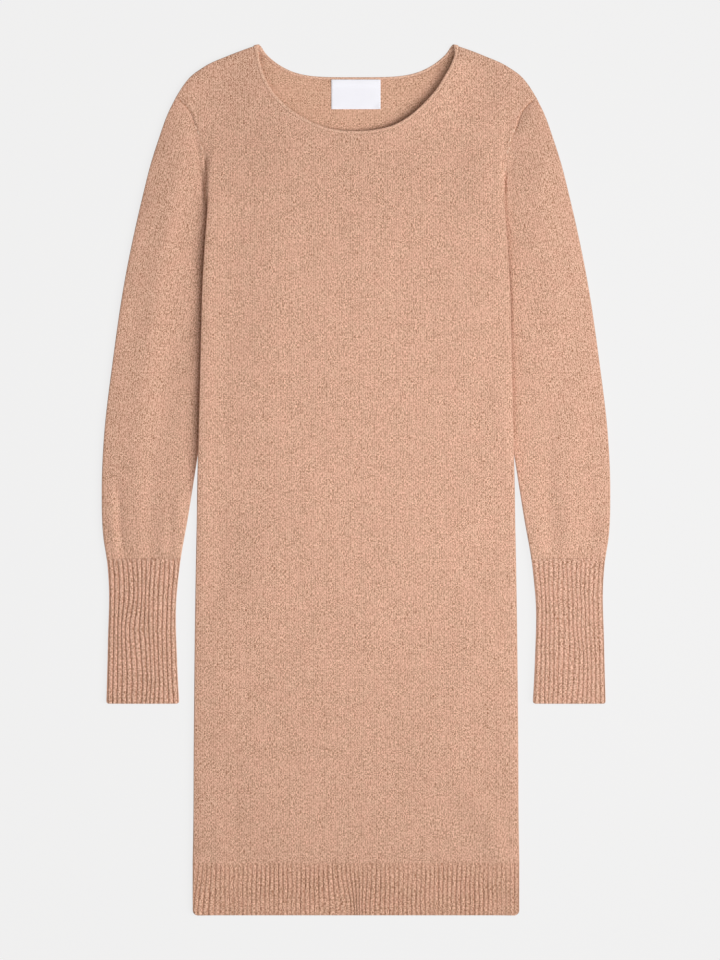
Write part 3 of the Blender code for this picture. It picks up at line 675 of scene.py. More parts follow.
# Soft folds of the front: lines of (x, y, height) and their half width.
frontFolds = (
    (((146, 130, 0), (150, 100, 1), (156, 50, 1.1), (163, 0, 0.9), (168, -30, 0)), 9),
    (((104, -318, 0), (118, -328, 0.7), (137, -346, 0.9), (148, -380, 0.9), (154, -402, 0.5)), 7),
    (((86, -330, 0), (104, -346, -0.5), (120, -366, -0.6), (128, -400, -0.3)), 9),
    (((70, -336, 0), (78, -352, 0.5), (88, -378, 0.5), (92, -400, 0)), 6),
    (((84, 292, 0), (92, 278, 0.5), (105, 258, 0.6), (120, 232, 0)), 9),
    (((-150, -95, 0), (-132, -140, 0.5), (-104, -168, 0.6), (-80, -176, 0)), 10),
    (((-158, -330, 0), (-144, -362, 0.5), (-138, -396, 0.5), (-136, -420, 0)), 8),
)


def lineHeight(lines, x, y):
    # Height that a list of soft folds adds.
    total = np.zeros(np.shape(x))
    for points, half in lines:
        points = np.array(points)
        gap, along = distanceTo(points[:, :2], x, y)
        steps = np.hypot(*np.diff(points[:, :2], axis=0).T)
        reached = np.concatenate([[0.0], np.cumsum(steps)]) / steps.sum()
        total = total + np.interp(along, reached, points[:, 2]) * bell(gap, half)
    return total


underarmRidge = np.array([(148.5, 356), (150.5, 328), (152, 303)])


def fromSeam(x, y):
    # Distance from the armhole's seam, which ends at its foot.
    return np.where(y > body["footY"] - 2.0, distanceTo(seamLine, np.abs(x), y)[0], 99.0)


def linked(y):
    # 1 along the upper part of the armhole, whose linked stitches show.
    return ramp(y, creases["linkFootY"], creases["linkFootY"] + creases["linkReach"])


def seamDip(x, y, seam):
    # The groove of the armhole's seam, deeper at its top, and the crease beside the fold.
    start = bySide(creases["foldY"], x)
    crease = creases["foldDepth"] * ramp(y, start, start - creases["foldReach"])
    outside = np.abs(x) - foldX(x, y) - creases["foldOut"]
    crease = crease * ramp(y, body["jointEndY"], body["footY"])
    crease = crease * bell(outside, bySide(creases["foldHalf"], x))
    groove = creases["seamDepth"] * bell(seam, creases["seamHalf"])
    return groove + creases["linkDepth"] * linked(y) * bell(seam, 1.0) + crease


def trimDip(x, y):
    # The groove beside the neck's trim, plain in the middle only.
    gap = distanceTo(trimLine, np.abs(x), y)[0]
    for fade, start, end in creases["trimFades"]:
        gap = gap + fade * ramp(x, start, end)
    return creases["seamDepth"] * bell(gap, creases["seamHalf"])


def backHeight(skin, x, y):
    if skin == "outer":
        return bodyLift(x, y)
    fold = fromFold(x, y)
    raised = np.maximum(0.25 + 0.25 * rumple(x, y, 45.0, 7), 0.0) * ramp(fold, 8.0, 28.0)
    gap, along = distanceTo(scoopLine, np.abs(x), y)
    pressed = ramp(gap, *neck["pressReach"]) * ramp(x, *neck["pressX"])
    return bodyLift(x, y) + cloth["wall"] + raised - neck["press"] * pressed * ramp(fold, 2.0, 10.0)


def frontHeight(skin, x, y):
    inward = bodyEdgeX(y) - np.abs(x)
    atSide = np.where(y < body["footY"], rimShare(inward) * sideRoll(y), 0.0)
    height = cloth["wall"] + cloth["layerGap"] + rim * np.maximum(rimShare(fromFold(x, y)), atSide)
    height = height + frontLift(x, y) + frontLoft(x, y)
    height = height + lineHeight(frontFolds, x, y) * ramp(inward, 1.5, 7.5)
    if skin == "inner":
        return height
    ridge = distanceTo(underarmRidge, np.abs(x), y)[0]
    height = height + creases["ridgeHeight"] * bell(ridge, creases["ridgeHalf"])
    seam = fromSeam(x, y)
    height = height + creases["linkRidge"] * linked(y) * bell(seam - 2.2, 1.2)
    return height - seamDip(x, y, seam) - trimDip(x, y) + cloth["wall"]


def panelHeight(face, skin, x, y):
    # skin is outer or inner.
    return (frontHeight if face == frontFace else backHeight)(skin, x, y)


def rollOffset(skin, angle):
    # Distance in from a folded edge, and height from its middle, at an angle of the fold.
    turn = np.radians(angle)
    radius = cloth["roll"] if skin == "outer" else cloth["roll"] - cloth["wall"]
    distance = cloth["narrow"] * (cloth["roll"] - radius * np.cos(turn))
    return distance, np.maximum(radius * np.sin(turn), cloth["seamGap"] / 2)


# One closed piece of cloth


class ClothShell:
    # Points with their places on the knit: u across its columns of stitches, v along them.
    def __init__(self):
        self.points = []
        self.knit = []
        self.ribs = []
        self.faces = []
        self.count = 0

    def add(self, x, y, z, u, v, rib=0.0, weight=0.0):
        x, y, z, u, v, rib, weight = np.broadcast_arrays(x, y, z, u, v, rib, weight)
        shape = x.shape
        self.points.append(np.stack([x, y, z], axis=-1).reshape(-1, 3))
        self.knit.append(np.stack([u, v], axis=-1).reshape(-1, 2))
        self.ribs.append(np.stack([rib, weight], axis=-1).reshape(-1, 2))
        keys = np.arange(self.count, self.count + x.size).reshape(shape)
        self.count += x.size
        return keys

    def strip(self, first, second):
        quads = np.stack([first[:-1], first[1:], second[1:], second[:-1]], axis=1)
        self.faces.extend(map(tuple, quads.tolist()))

    def grid(self, *columns, **more):
        keys = self.add(*columns, **more)
        for first, second in zip(keys, keys[1:]):
            self.strip(first, second)
        return keys

    def fill(self, loop, inside):
        # Triangles over the area within a loop, through the points inside it.
        keys = np.concatenate([loop, inside])
        points = np.concatenate(self.points)[keys]
        flat = [Vector((x, y)) for x, y, z in points]
        result = delaunay_2d_cdt(flat, [], [list(range(len(loop)))], 1, 1e-6)
        back = [int(keys[sources[0]]) for sources in result[3]]
        self.faces.extend(tuple(back[corner] for corner in face) for face in result[2])

    def build(self, name, material=None, sharp=45.0, inside=None, insideFrom=0, bend=None):
        mesh = bpy.data.meshes.new(name)
        points = np.concatenate(self.points)
        if bend:
            points[:, 0], points[:, 1] = bend(points[:, 0], points[:, 1])
        mesh.from_pydata((points * mm).tolist(), [], self.faces)
        if inside:
            slots = (np.arange(len(self.faces)) >= insideFrom).astype(np.int32)
            mesh.polygons.foreach_set("material_index", slots)
        knit = np.concatenate(self.knit)
        corners = np.empty(len(mesh.loops), dtype=np.int32)
        mesh.loops.foreach_get("vertex_index", corners)
        layer = mesh.uv_layers.new(name="knit")
        layer.uv.foreach_set("vector", knit[corners].astype(np.float32).ravel())
        ribs = np.concatenate(self.ribs)
        if ribs.any():
            for column, label in enumerate(("ribPlace", "ribWeight")):
                values = mesh.attributes.new(label, "FLOAT", "POINT").data
                values.foreach_set("value", ribs[:, column].astype(np.float32))
        work = bmesh.new()
        work.from_mesh(mesh)
        bmesh.ops.remove_doubles(work, verts=work.verts, dist=1e-6)
        bmesh.ops.dissolve_degenerate(work, edges=work.edges, dist=1e-7)
        bmesh.ops.recalc_face_normals(work, faces=work.faces)
        work.to_mesh(mesh)
        work.free()
        for look in (material, inside):
            if look:
                mesh.materials.append(look)
        mesh.shade_smooth()
        mesh.set_sharp_from_angle(angle=math.radians(sharp))
        return addObject(name, mesh)


# Front and back

rollAngles = np.linspace(0.0, 90.0, 8)
sideRows = np.linspace(body["hemSeamY"], body["footY"], 176)
armRows = np.linspace(body["footY"], body["tipY"] - body["tipSlope"] * foldWidth, 28)[1:-1]
shoulderColumns = np.linspace(shoulder[-1][0], neck["half"] + neck["trimWidth"] + cloth["seamGap"], 24)
scoopAngles = {frontFace: np.linspace(4.5, 90.0, 60), backFace: np.linspace(15.8, 90.0, 54)}


def sideStrip(shell, face, skin, side):
    angle = rollAngles[:, None]
    distance, rise = rollOffset(skin, angle)
    flatDistance = foldWidth * (1.0 - np.cos(np.radians(angle)))
    y = sideRows[None, :]
    roll = sideRoll(y)
    x = side * (bodyEdgeX(y) - mix(flatDistance, distance, roll))
    rolledZ = cloth["roll"] + face * rise + bodyLift(x, y)
    z = mix(panelHeight(face, skin, x, y), rolledZ, roll)
    u = side * (bodyEdgeX(y) - foldWidth + np.radians(90.0 - angle) * cloth["roll"])
    return shell.grid(x, y, z, u, y)


def shoulderStrip(shell, face, skin, side):
    angle = rollAngles[:, None]
    distance, rise = rollOffset(skin, angle)
    slope = readTable(shoulder, shoulderColumns + 0.5) - readTable(shoulder, shoulderColumns - 0.5)
    length = np.hypot(1.0, slope)
    x = shoulderColumns + slope / length * distance
    y = readTable(shoulder, shoulderColumns) - distance / length
    y[:, 0] = body["tipY"] - body["tipSlope"] * distance[:, 0]
    x[:, 0] = readTable(armhole, y[:, 0])
    x[:, -1], y[:, -1] = neckNearFold(face, neck["trimWidth"] + cloth["seamGap"], distance[:, 0])
    v = y[-1] + np.radians(90.0 - angle) * cloth["roll"]
    return shell.grid(side * x, y, cloth["roll"] + face * rise, side * x[-1], v)


def insidePlaces(face):
    # Places for a panel's loose points, in rows of even triangles.
    step = cloth["spacing"]
    places = []
    for row, y in enumerate(np.arange(body["hemSeamY"] + step * 0.85, 452.0, step * 0.866)):
        x = np.arange(-188.0 + (step / 2 if row % 2 else 0.0), 188.0, step)
        places.append(np.stack([x, np.full(len(x), y)], axis=1))
    x, y = np.concatenate(places).T
    half = np.abs(x)
    margin = step * 1.1
    keep = half < bodyEdgeX(y) - np.where(y > body["footY"], margin, cloth["roll"] + margin)
    top = readTable(shoulder, np.clip(half, neck["half"], shoulder[-1][0]))
    keep &= y < top - cloth["roll"] - margin
    reach = neck["trimWidth"] + margin
    keep &= (half >= neck["half"] + reach) | (y < neckY(face, reach, x))
    # Closer rows beside the armholes and the trim, for the seams' narrow dips.
    rows = [(x[keep], y[keep])]
    for inset in cloth["closerRows"]:
        beside = neckCurve(face, neck["trimWidth"] + cloth["seamGap"] + inset, scoopAngles[face][:-1])
        for rowX, rowY in ((readTable(armhole, armRows) - inset, armRows), beside):
            rows += [(side * rowX, rowY) for side in (leftSide, rightSide)]
    return np.concatenate(rows, axis=1)


def panelSkin(shell, face, skin):
    # One skin of a panel: folded edges as strips, the rest filled. Returns its border.
    sides = {side: sideStrip(shell, face, skin, side) for side in (leftSide, rightSide)}
    shoulders = {side: shoulderStrip(shell, face, skin, side) for side in (leftSide, rightSide)}

    def level(x, y):
        x, y = np.broadcast_arrays(x, y)
        return shell.add(x, y, panelHeight(face, skin, x, y), x, y)

    inner = readTable(sideEdge, body["hemSeamY"]) - foldWidth
    hem = level(np.linspace(-inner, inner, 86)[1:-1], body["hemSeamY"])
    arm = {side: level(side * readTable(armhole, armRows), armRows) for side in (leftSide, rightSide)}
    x, y = neckCurve(face, neck["trimWidth"] + cloth["seamGap"], scoopAngles[face])
    scoop = level(np.concatenate([x, -x[-2::-1]]), np.concatenate([y, y[-2::-1]]))

    left, right = sides[leftSide], sides[rightSide]
    leftTop, rightTop = shoulders[leftSide], shoulders[rightSide]
    loop = [[right[-1][0]], hem, left[-1][:-1], left[::-1, -1], arm[leftSide], leftTop[-1], scoop]
    loop += [rightTop[-1][::-1], arm[rightSide][::-1], right[:, -1], right[-1][-2:0:-1]]
    shell.fill(np.concatenate(loop), level(*insidePlaces(face)))

    border = [right[:, 0], hem, left[::-1, 0], left[0][1:], arm[leftSide], leftTop[::-1, 0]]
    border += [leftTop[0][1:], leftTop[1:, -1], scoop, rightTop[::-1, -1], rightTop[0][-2::-1]]
    border += [rightTop[1:, 0], arm[rightSide][::-1], right[0][::-1][:-1]]
    return np.concatenate(border)


def makePanel(name, face, bend=None):
    shell = ClothShell()
    outer = panelSkin(shell, face, "outer")
    insideFrom = len(shell.faces)
    inner = panelSkin(shell, face, "inner")
    shell.strip(np.append(outer, outer[0]), np.append(inner, inner[0]))
    return shell.build(name, cashmereJersey, inside=cashmerePurl, insideFrom=insideFrom, bend=bend)


frontPanel = makePanel("frontPanel", frontFace, leanIn)
print("front:", len(frontPanel.data.polygons), "faces")
backPanel = makePanel("backPanel", backFace)
print("back:", len(backPanel.data.polygons), "faces")


# Neck trim and label


def trimStations(face, side):
    # Rows along the trim, from the shoulder's fold to the middle; columns go round it.
    around = np.radians(np.linspace(0.0, 360.0, 21))
    share = 0.5 + 0.5 * np.cos(around)
    thick = np.sin(around)  # 1 on the side that faces out of the fold
    thick = np.sign(thick) * np.abs(thick) ** np.where(share > 0.5, 0.4, 0.7)
    bulging = np.maximum(face * thick, 0.0) ** 0.5 * bell(share - 0.25, 0.3)

    turn = np.radians(rollAngles)[:, None]
    radius = cloth["roll"] + cloth["wall"] / 2 * (thick - 1.0)
    drop = cloth["narrow"] * (cloth["roll"] - radius * np.cos(turn))
    foldedX, foldedY = neckNearFold(face, neck["trimWidth"] * share, drop)
    foldedZ = cloth["roll"] + face * radius * np.sin(turn)

    x, y = neckCurve(face, neck["trimWidth"] * share, scoopAngles[face][:, None])
    z = panelHeight(face, "outer", side * x, y) + cloth["wall"] / 2 * (1.0 + face * thick)
    if face == frontFace:
        z = z + trimDip(side * x, y) - cloth["wall"]
    x = np.concatenate([foldedX, x])
    y = np.concatenate([foldedY, y])
    z = np.concatenate([foldedZ, z])
    weight = np.append(rollAngles / 90.0, np.ones(len(scoopAngles[face])))[:, None]
    fromTop = readTable(shoulder, neck["half"]) - y
    knob = neck["knob"] * bell(fromTop, mix(2.4, neck["knobReach"], 1.0 - share))
    return x - knob * (0.3 + 1.6 * (1.0 - share)), y + knob, z, bulging * weight


def makeTrim():
    halves = {}
    for side in (leftSide, rightSide):
        pairs = zip(trimStations(frontFace, side), trimStations(backFace, side))
        halves[side] = [np.concatenate([upper[::-1], under[1:]]) for upper, under in pairs]
    halves[rightSide][0] = -halves[rightSide][0]
    both = zip(halves[leftSide], halves[rightSide])
    x, y, z, bulging = (np.concatenate([left, right[-2::-1]]) for left, right in both)
    inFront = np.arange(len(halves[leftSide][0])) < len(rollAngles) + len(scoopAngles[frontFace])
    inFront = np.concatenate([inFront, inFront[-2::-1]])[:, None]
    z = z + bulging * np.where(inFront, 0.0, neck["trimBulge"])
    leaningX, leaningY = leanIn(x, y)
    x = np.where(inFront, leaningX, x)
    y = np.where(inFront, leaningY, y)
    centre = np.stack([x, y, z]).mean(axis=2)
    along = np.append(0.0, np.cumsum(np.linalg.norm(np.diff(centre), axis=0)))
    shell = ClothShell()
    u = np.linspace(0.0, 12.0, x.shape[1])[None, :]
    shell.grid(x, y, z, u, along[:, None])
    return shell.build("neckTrim", cashmereTrimPaintedHighlight, sharp=80.0)


neckTrim = makeTrim()

label = {
    "width": 51.5,
    "depth": 31.0,
    "thick": 0.5,
    "topY": 420.5,
    "low": 2.75,
    "high": 3.35,  # where it lies on the trim
    "corner": 0.7,
    "humps": ((0.12, 16.0, 12),),
}


def labelHeight(x, y):
    # The middle of its thickness: up on the trim, with its lower left corner curled.
    across = x / label["width"]
    down = (label["topY"] - y) / label["depth"]
    height = mix(label["low"], label["high"], ramp(y, 411.0, 417.0))
    curl = ramp(np.hypot(across - 0.5, 0.6 * (down - 1.0)), 0.16, 0.0)
    return height + unevenness(label["humps"], x, y) + label["corner"] * curl


def makeLabel():
    shell = ClothShell()
    across = np.linspace(-0.5, 0.5, 53)[None, :]
    down = np.linspace(0.0, 1.0, 33)[:, None]
    x = label["width"] * across
    y = label["topY"] - label["depth"] * down
    height = labelHeight(x, y)
    fromEnd = label["depth"] * np.minimum(down, 1.0 - down)
    edge = np.minimum(label["width"] * (0.5 - np.abs(across)), fromEnd)
    rounding = label["thick"] / 2 * ramp(edge, 0.0, 0.8)
    for sign in (1.0, -1.0):
        shell.grid(x, y, height + sign * rounding, x, y)
    return shell.build("neckLabel", satinLabel, sharp=80.0)


neckLabel = makeLabel()
print("neck trim and label are made")


# Sleeves

sleeve = {
    "tuckEndY": 258.0,
    "tuckRoll": 2.8,
    "tuckInset": 9.0,  # it slips in under the body's side by this, just below the armhole's foot
    "freeY": 22.0,  # where its inner edge comes clear of the body
    "freeReach": 60.0,
    # How high a sleeve stands, as a share of its width: (y, share).
    "dome": {
        leftSide: ((-60, 0.022), (60, 0.016), (150, 0.020), (240, 0.026)),
        rightSide: ((-60, 0.030), (60, 0.020), (150, 0.020), (240, 0.034)),
    },
    "flank": {leftSide: 1.6, rightSide: -0.8},  # and how high it rises away from the body
    "flankReach": {leftSide: 2.0, rightSide: 9.0},
    "cuffDrop": 26.0,  # it sinks to the cuff within this
    "seamLiftReach": 6.0,
    "humps": ((0.4, 42.0, 21), (0.2, 20.0, 22)),
    "rows": 150,
    "columns": 56,
}
# Gathers: lines of (x, y, height) and their half width, on the wearer's right and left.
gathers = {
    rightSide: (
        (((-250, 8, 0), (-249, -14, -1.3), (-247.5, -52, -1.5), (-243.5, -76, -1)), 4),
        (((-233, 44, 0), (-230, -8, 0.2), (-229.5, -76, 0.25)), 6.5),
        (((-214, 60, 0), (-214.5, 0, -0.5), (-214.5, -76, -0.7)), 7),
        (((-203, 0, 0), (-203, -40, 0.25), (-203, -76, 0.3)), 4),
        (((-194, -10, 0), (-194, -45, -0.5), (-194, -76, -0.5)), 3.6),
        (((-260, 0, 0), (-259, -40, 0.3), (-255, -76, 0.3)), 4.5),
        (((-180, 390, 0), (-182, 368, 1), (-187, 336, 1.7), (-194, 294, 2.2),
          (-204, 242, 2.2), (-211, 195, 1.7), (-217, 147, 1.6), (-226, 90, 1.5),
          (-233, 35, 1.4), (-234, 0, 0.6), (-232, -40, 0)), 15),
        (((-170, 332, 0), (-173, 294, -0.6), (-180, 242, -0.9), (-188, 195, -1.1),
          (-192, 147, -1.2), (-196, 90, -1.4), (-206, 45, -1.2), (-211, 10, -0.6),
          (-211, -20, 0)), 14),
    ),
    leftSide: (
        (((205, 105, 0), (201.5, 15, -1.1), (205, -45, -1.4), (205.5, -76, -0.9)), 7.5),
        (((223, 20, 0), (224, -30, 0.7), (224, -74, 0.6)), 6),
        (((183, -10, 0), (184.5, -50, 0.5), (188, -76, 0.4)), 6),
        (((248, 0, 0), (247, -45, -0.7), (246, -76, -0.7)), 5),
        (((187, 300, 0), (185, 280, -0.7), (184, 250, 0)), 9),
        (((196, 356, 0), (193, 336, 1.3), (193, 300, 1.3), (197, 262, 0.6),
          (200, 236, 0)), 13),
    ),
}


class Route:
    # A line through points, read by its length share.
    def __init__(self, points):
        self.points = points
        steps = np.hypot(*np.diff(self.points, axis=0).T)
        self.lengths = np.concatenate([[0.0], np.cumsum(steps)])

    def at(self, share):
        length = np.asarray(share) * self.lengths[-1]
        x, y = (np.interp(length, self.lengths, column) for column in self.points.T)
        return np.stack([x, y], axis=-1)


def sleeveTopRoute():
    # Round the armhole, then in under the body's side.
    seam = tableLine(armhole, body["tipY"], body["footY"], 260)
    tucked = tableLine(sideEdge, body["footY"], sleeve["tuckEndY"], 60)[1:]
    tucked[:, 0] -= sleeve["tuckInset"] * ramp(tucked[:, 1], body["footY"] - 1.0, body["footY"] - 15.0)
    across = np.linspace(tucked[-1], sleeveInner[-1][::-1], 12)[1:]
    line = np.concatenate([seam, tucked, across])
    along = np.gradient(line, axis=0)
    along /= np.hypot(*along.T)[:, None]
    return Route(line + np.stack([-along[:, 1], along[:, 0]], axis=1) * cloth["seamGap"])


topRoute = sleeveTopRoute()


def edgeRoute(table, topY):
    return Route(tableLine(table, topY, body["cuffY"] + cloth["seamGap"] / 2, 300))


outerRoute = edgeRoute(sleeveOuter, body["tipY"] - cloth["seamGap"])
innerRoute = edgeRoute(sleeveInner, sleeveInner[-1][0])


def sleevePlace(across, along):
    # A surface spanned between the armhole, the two edges and the cuff's seam.
    across = across[..., None]
    outer = outerRoute.at(along)
    inner = innerRoute.at(along)
    along = along[..., None]
    ends = [outerRoute.at(0.0), innerRoute.at(0.0), outerRoute.at(1.0), innerRoute.at(1.0)]
    fitted = mix(ends[0] - topRoute.at(0.0), ends[1] - topRoute.at(1.0), across)
    top = topRoute.at(across[..., 0]) + fitted
    cuff = mix(ends[2], ends[3], across)
    corners = mix(mix(ends[0], ends[1], across), cuff, along)
    place = mix(top, cuff, along) + mix(outer, inner, across) - corners
    return place[..., 0], place[..., 1]


def sleeveWidth(along):
    gap = outerRoute.at(along) - innerRoute.at(along)
    width = np.hypot(gap[..., 0], gap[..., 1])
    return mix(topRoute.lengths[-1], width, ramp(along, 0.0, 0.02))


def sleeveFree(along):
    # 0 while the inner edge is under the body, 1 once it lies clear of it.
    return ramp(innerRoute.at(along)[..., 1], sleeve["freeY"], sleeve["freeY"] - sleeve["freeReach"])


def seamLift(x, y):
    # The sleeve hangs on the lifted armhole, then drops beside the body's side edge.
    edge = bodyEdgeX(y)
    fall = 1.0 - ramp(np.abs(x) - edge, 0.0, sleeve["seamLiftReach"])
    drop = ramp(y, body["footY"] - 14.0, body["footY"])
    return bodyLift(np.sign(x) * edge, y) * fall * drop


def sleeveTopHeight(side, across, along, x, y):
    # Height of the sleeve's upper face. x is on the sleeve's own side.
    width = sleeveWidth(along)
    free = sleeveFree(along)
    outerGap = across * width
    innerGap = (1.0 - across) * width
    cuffGap = (1.0 - along) * outerRoute.lengths[-1]
    beside = np.maximum(np.abs(x) - bodyEdgeX(y), 0.0)
    shown = mix(beside, innerGap, free)
    t = shown / (shown + outerGap + 1e-6)
    below = np.maximum(free, ramp(y, body["footY"], body["footY"] - 30.0))
    clear = mix(ramp(beside, 0.0, 10.0), 1.0, below)
    sink = mix(0.30, 1.0, ramp(cuffGap, 0.0, sleeve["cuffDrop"]))
    high = readTable(sleeve["dome"][side], y) * (shown + outerGap)
    dome = high * 4.0 * t * (1.0 - t) * clear * sink
    flank = sleeve["flank"][side] * (1.0 - bell(beside, sleeve["flankReach"][side]))
    dome = dome + flank * ramp(outerGap, 3.0, 33.0) * ramp(y, -5.0, 29.0) * ramp(y, 340.0, 295.0)
    edge = rim * np.maximum(rimShare(fromFold(x, y)), free * rimShare(innerGap))
    nearEdge = ramp(outerGap, 3.0, 11.0) * mix(clear, ramp(innerGap, 3.0, 11.0), free)
    detail = lineHeight(gathers[side], x, y) + unevenness(sleeve["humps"], x, y)
    detail = detail * nearEdge * ramp(cuffGap, 0.0, 7.0)
    return low + edge + dome + detail + seamLift(x, y) - seamDip(x, y, fromSeam(x, y))


def sleeveSkin(shell, side, skin):
    # Rows go down the sleeve. Columns cross it over the top, from the outer fold to the
    # inner one, and then back underneath.
    wall = 0.0 if skin == "outer" else cloth["wall"]
    radius = cloth["roll"]
    length = outerRoute.lengths[-1]
    along = np.concatenate([[0.0, 0.9, 1.9, 3.2], np.linspace(6.0, length, sleeve["rows"])]) / length
    along = along[:, None]
    width = sleeveWidth(along)
    innerRadius = mix(sleeve["tuckRoll"], radius, sleeveFree(along))
    outerTurn = np.radians(rollAngles)
    innerTurn = outerTurn[::-1]
    outerInset = cloth["narrow"] * (radius - (radius - wall) * np.cos(outerTurn))
    innerInset = cloth["narrow"] * (innerRadius - (innerRadius - wall) * np.cos(innerTurn))
    margin = foldWidth / width
    level = mix(margin, 1.0 - margin, np.linspace(0.0, 1.0, sleeve["columns"])[1:-1])
    across = np.concatenate([outerInset / width, level, 1.0 - innerInset / width], axis=1)
    x, y = sleevePlace(across, along)

    # The knit's columns run along the outer fold.
    turns = len(rollAngles)
    fromOuter = readTable(sleeveOuter, np.minimum(y, body["tipY"])) - x
    u = fromOuter + math.pi / 2 * radius - foldWidth
    u[:, :turns] = outerTurn * radius
    u[:, -turns:] = fromOuter[:, -turns:] + innerInset + (math.pi - innerTurn) * radius
    u[:, -turns:] -= 2.0 * foldWidth

    x = side * x
    levelX = x[:, turns:-turns]
    levelY = y[:, turns:-turns]
    upper = sleeveTopHeight(side, level, along, levelX, levelY) - wall
    lower = seamLift(levelX, levelY) + wall
    halves = []
    for sign, height in ((1, upper), (-1, lower)):
        outerFold = radius + sign * (radius - wall) * np.sin(outerTurn) + 0.0 * along
        innerFold = innerRadius + sign * (innerRadius - wall) * np.sin(innerTurn)
        z = np.concatenate([outerFold, height, innerFold], axis=1)
        halves.append(shell.grid(*(values[:, ::sign] for values in (x, y, z, sign * u, y))))
    return np.concatenate(halves, axis=1)


def makeSleeve(name, side):
    shell = ClothShell()
    outer = sleeveSkin(shell, side, "outer")
    inner = sleeveSkin(shell, side, "inner")
    for end in (0, -1):
        shell.strip(outer[end], inner[end])
    return shell.build(name, cashmereJersey)


leftSleeve = makeSleeve("leftSleeve", leftSide)
rightSleeve = makeSleeve("rightSleeve", rightSide)
print("sleeves:", len(leftSleeve.data.polygons), "faces each")


# Ribs, pressed into the cuffs and the hem by one tree

rib = {
    "pitch": 2.0 * yarn["walePitch"],
    "power": 3.2,  # higher makes the valleys narrower
    "columnsEach": 10,
    "unevenness": 0.25,
    "seed": 5,
}


def newTree(name, floats):
    # An empty tree with its named inputs, and what these give.
    tree = bpy.data.node_groups.new(name, "GeometryNodeTree")
    kinds = {"Geometry": "Geometry", "Seed": "Int", "Material": "Material"}
    for label in ("Geometry", *floats, "Seed", "Material"):
        kind = "NodeSocket" + kinds.get(label, "Float")
        tree.interface.new_socket(label, in_out="INPUT", socket_type=kind)
    tree.interface.new_socket("Geometry", in_out="OUTPUT", socket_type="NodeSocketGeometry")
    return tree, addNode(tree, "NodeGroupInput").outputs


def ribTree():
    # Sinks the valleys between ribs, along the surface's normal.
    tree, given = newTree("ribKnit", ("Depth", "Power", "Unevenness"))
    add = partial(addNode, tree)
    place, weight = (
        add("GeometryNodeInputNamedAttribute", [name], data_type="FLOAT").outputs["Attribute"]
        for name in ("ribPlace", "ribWeight")
    )
    share = add("Math FRACT", [place])
    fromRidge = add("Math ABSOLUTE", [add("Math MULTIPLY_ADD", [share, 2.0, -1.0])])
    valley = add("Math POWER", [fromRidge, given["Power"]])
    number = add("Math FLOOR", [add("Math ADD", [place, 0.5])])
    chance = add("FunctionNodeRandomValue", {"ID": number, "Seed": given["Seed"]}, data_type="FLOAT")
    swing = add("Math SUBTRACT", [chance, 0.5])
    own = add("Math MULTIPLY_ADD", [swing, given["Unevenness"], 1.0])
    full = add("Math MULTIPLY", [weight, given["Depth"]])
    depth = add("Math MULTIPLY", [add("Math MULTIPLY", [valley, own]), full])
    sinking = {0: add("GeometryNodeInputNormal"), "Scale": add("Math MULTIPLY", [depth, -1.0])}
    offset = add("VectorMath SCALE", sinking)
    moved = add("GeometryNodeSetPosition", {"Geometry": given["Geometry"], "Offset": offset})
    real = add("GeometryNodeRealizeInstances", [moved])
    dressed = add("GeometryNodeSetMaterial", {"Geometry": real, "Material": given["Material"]})
    add("NodeGroupOutput", [dressed])
    return tree


def runTree(piece, tree, settings):
    # Turns an object into the plain mesh that a tree makes of it.
    modifier = piece.modifiers.new(tree.name, "NODES")
    modifier.node_group = tree
    for item in tree.interface.items_tree:
        if item.item_type == "SOCKET" and item.in_out == "INPUT" and item.name in settings:
            modifier[item.identifier] = settings[item.name]
    depsgraph = bpy.context.evaluated_depsgraph_get()
    plain = bpy.data.meshes.new_from_object(
        piece.evaluated_get(depsgraph), preserve_all_data_layers=True, depsgraph=depsgraph
    )
    piece.modifiers.remove(modifier)
    piece.data = plain
    plain.name = piece.name
    return piece


ribKnit = ribTree()
ribSettings = {"Power": rib["power"], "Unevenness": rib["unevenness"], "Seed": rib["seed"]}

cuff = {
    "endY": -234.0,
    "ribs": 34,  # all round
    "depth": {leftSide: 0.95, rightSide: 1.1},
    "roll": 2.9,
    "dome": 1.0,
    "corner": 3.0,
    "wave": 1.1,
    "rows": 62,
    "insideRows": 8,
    "endRows": 1.3,  # the rounded end's rows take this
    "start": 0.8,  # the valleys deepen within this
    "startReach": 4.0,  # and up to this much more, from rib to rib
}
# Rows that round the lower edge: height above it, and depth from the outer skin to the inner.
roundedEnd = (
    (0.9, 0.05), (0.45, 0.2), (0.12, 0.55), (0.0, 1.0), (0.12, 1.45), (0.45, 1.8), (0.9, 1.95),
)


def bandRows(band, span):
    # Rows down a band's outer skin, round its end and up the inner one: place and depth.
    end = span - band["endRows"]
    rows = [(down, 0.0) for down in np.linspace(0.0, end, band["rows"])]
    rows += [(span - rise, depth) for rise, depth in roundedEnd]
    rows += [(down, cloth["wall"]) for down in np.linspace(end, 0.0, band["insideRows"])]
    return np.array(rows).T[:, :, None]


def cornerRise(band, distance):
    # How far a rounded corner rises off the end, at a distance in from the side.
    corner = band["corner"]
    return corner - np.sqrt(corner**2 - np.clip(corner - distance, 0.0, corner) ** 2)


def valleyStart(band, place, down):
    # The valleys start at the seam, some sooner than others.
    own = 0.5 + 0.5 * np.sin(np.floor(place * band["ribs"] + 0.5) * 2.4)
    return ramp(down, 0.0, band["start"] + band["startReach"] * own)


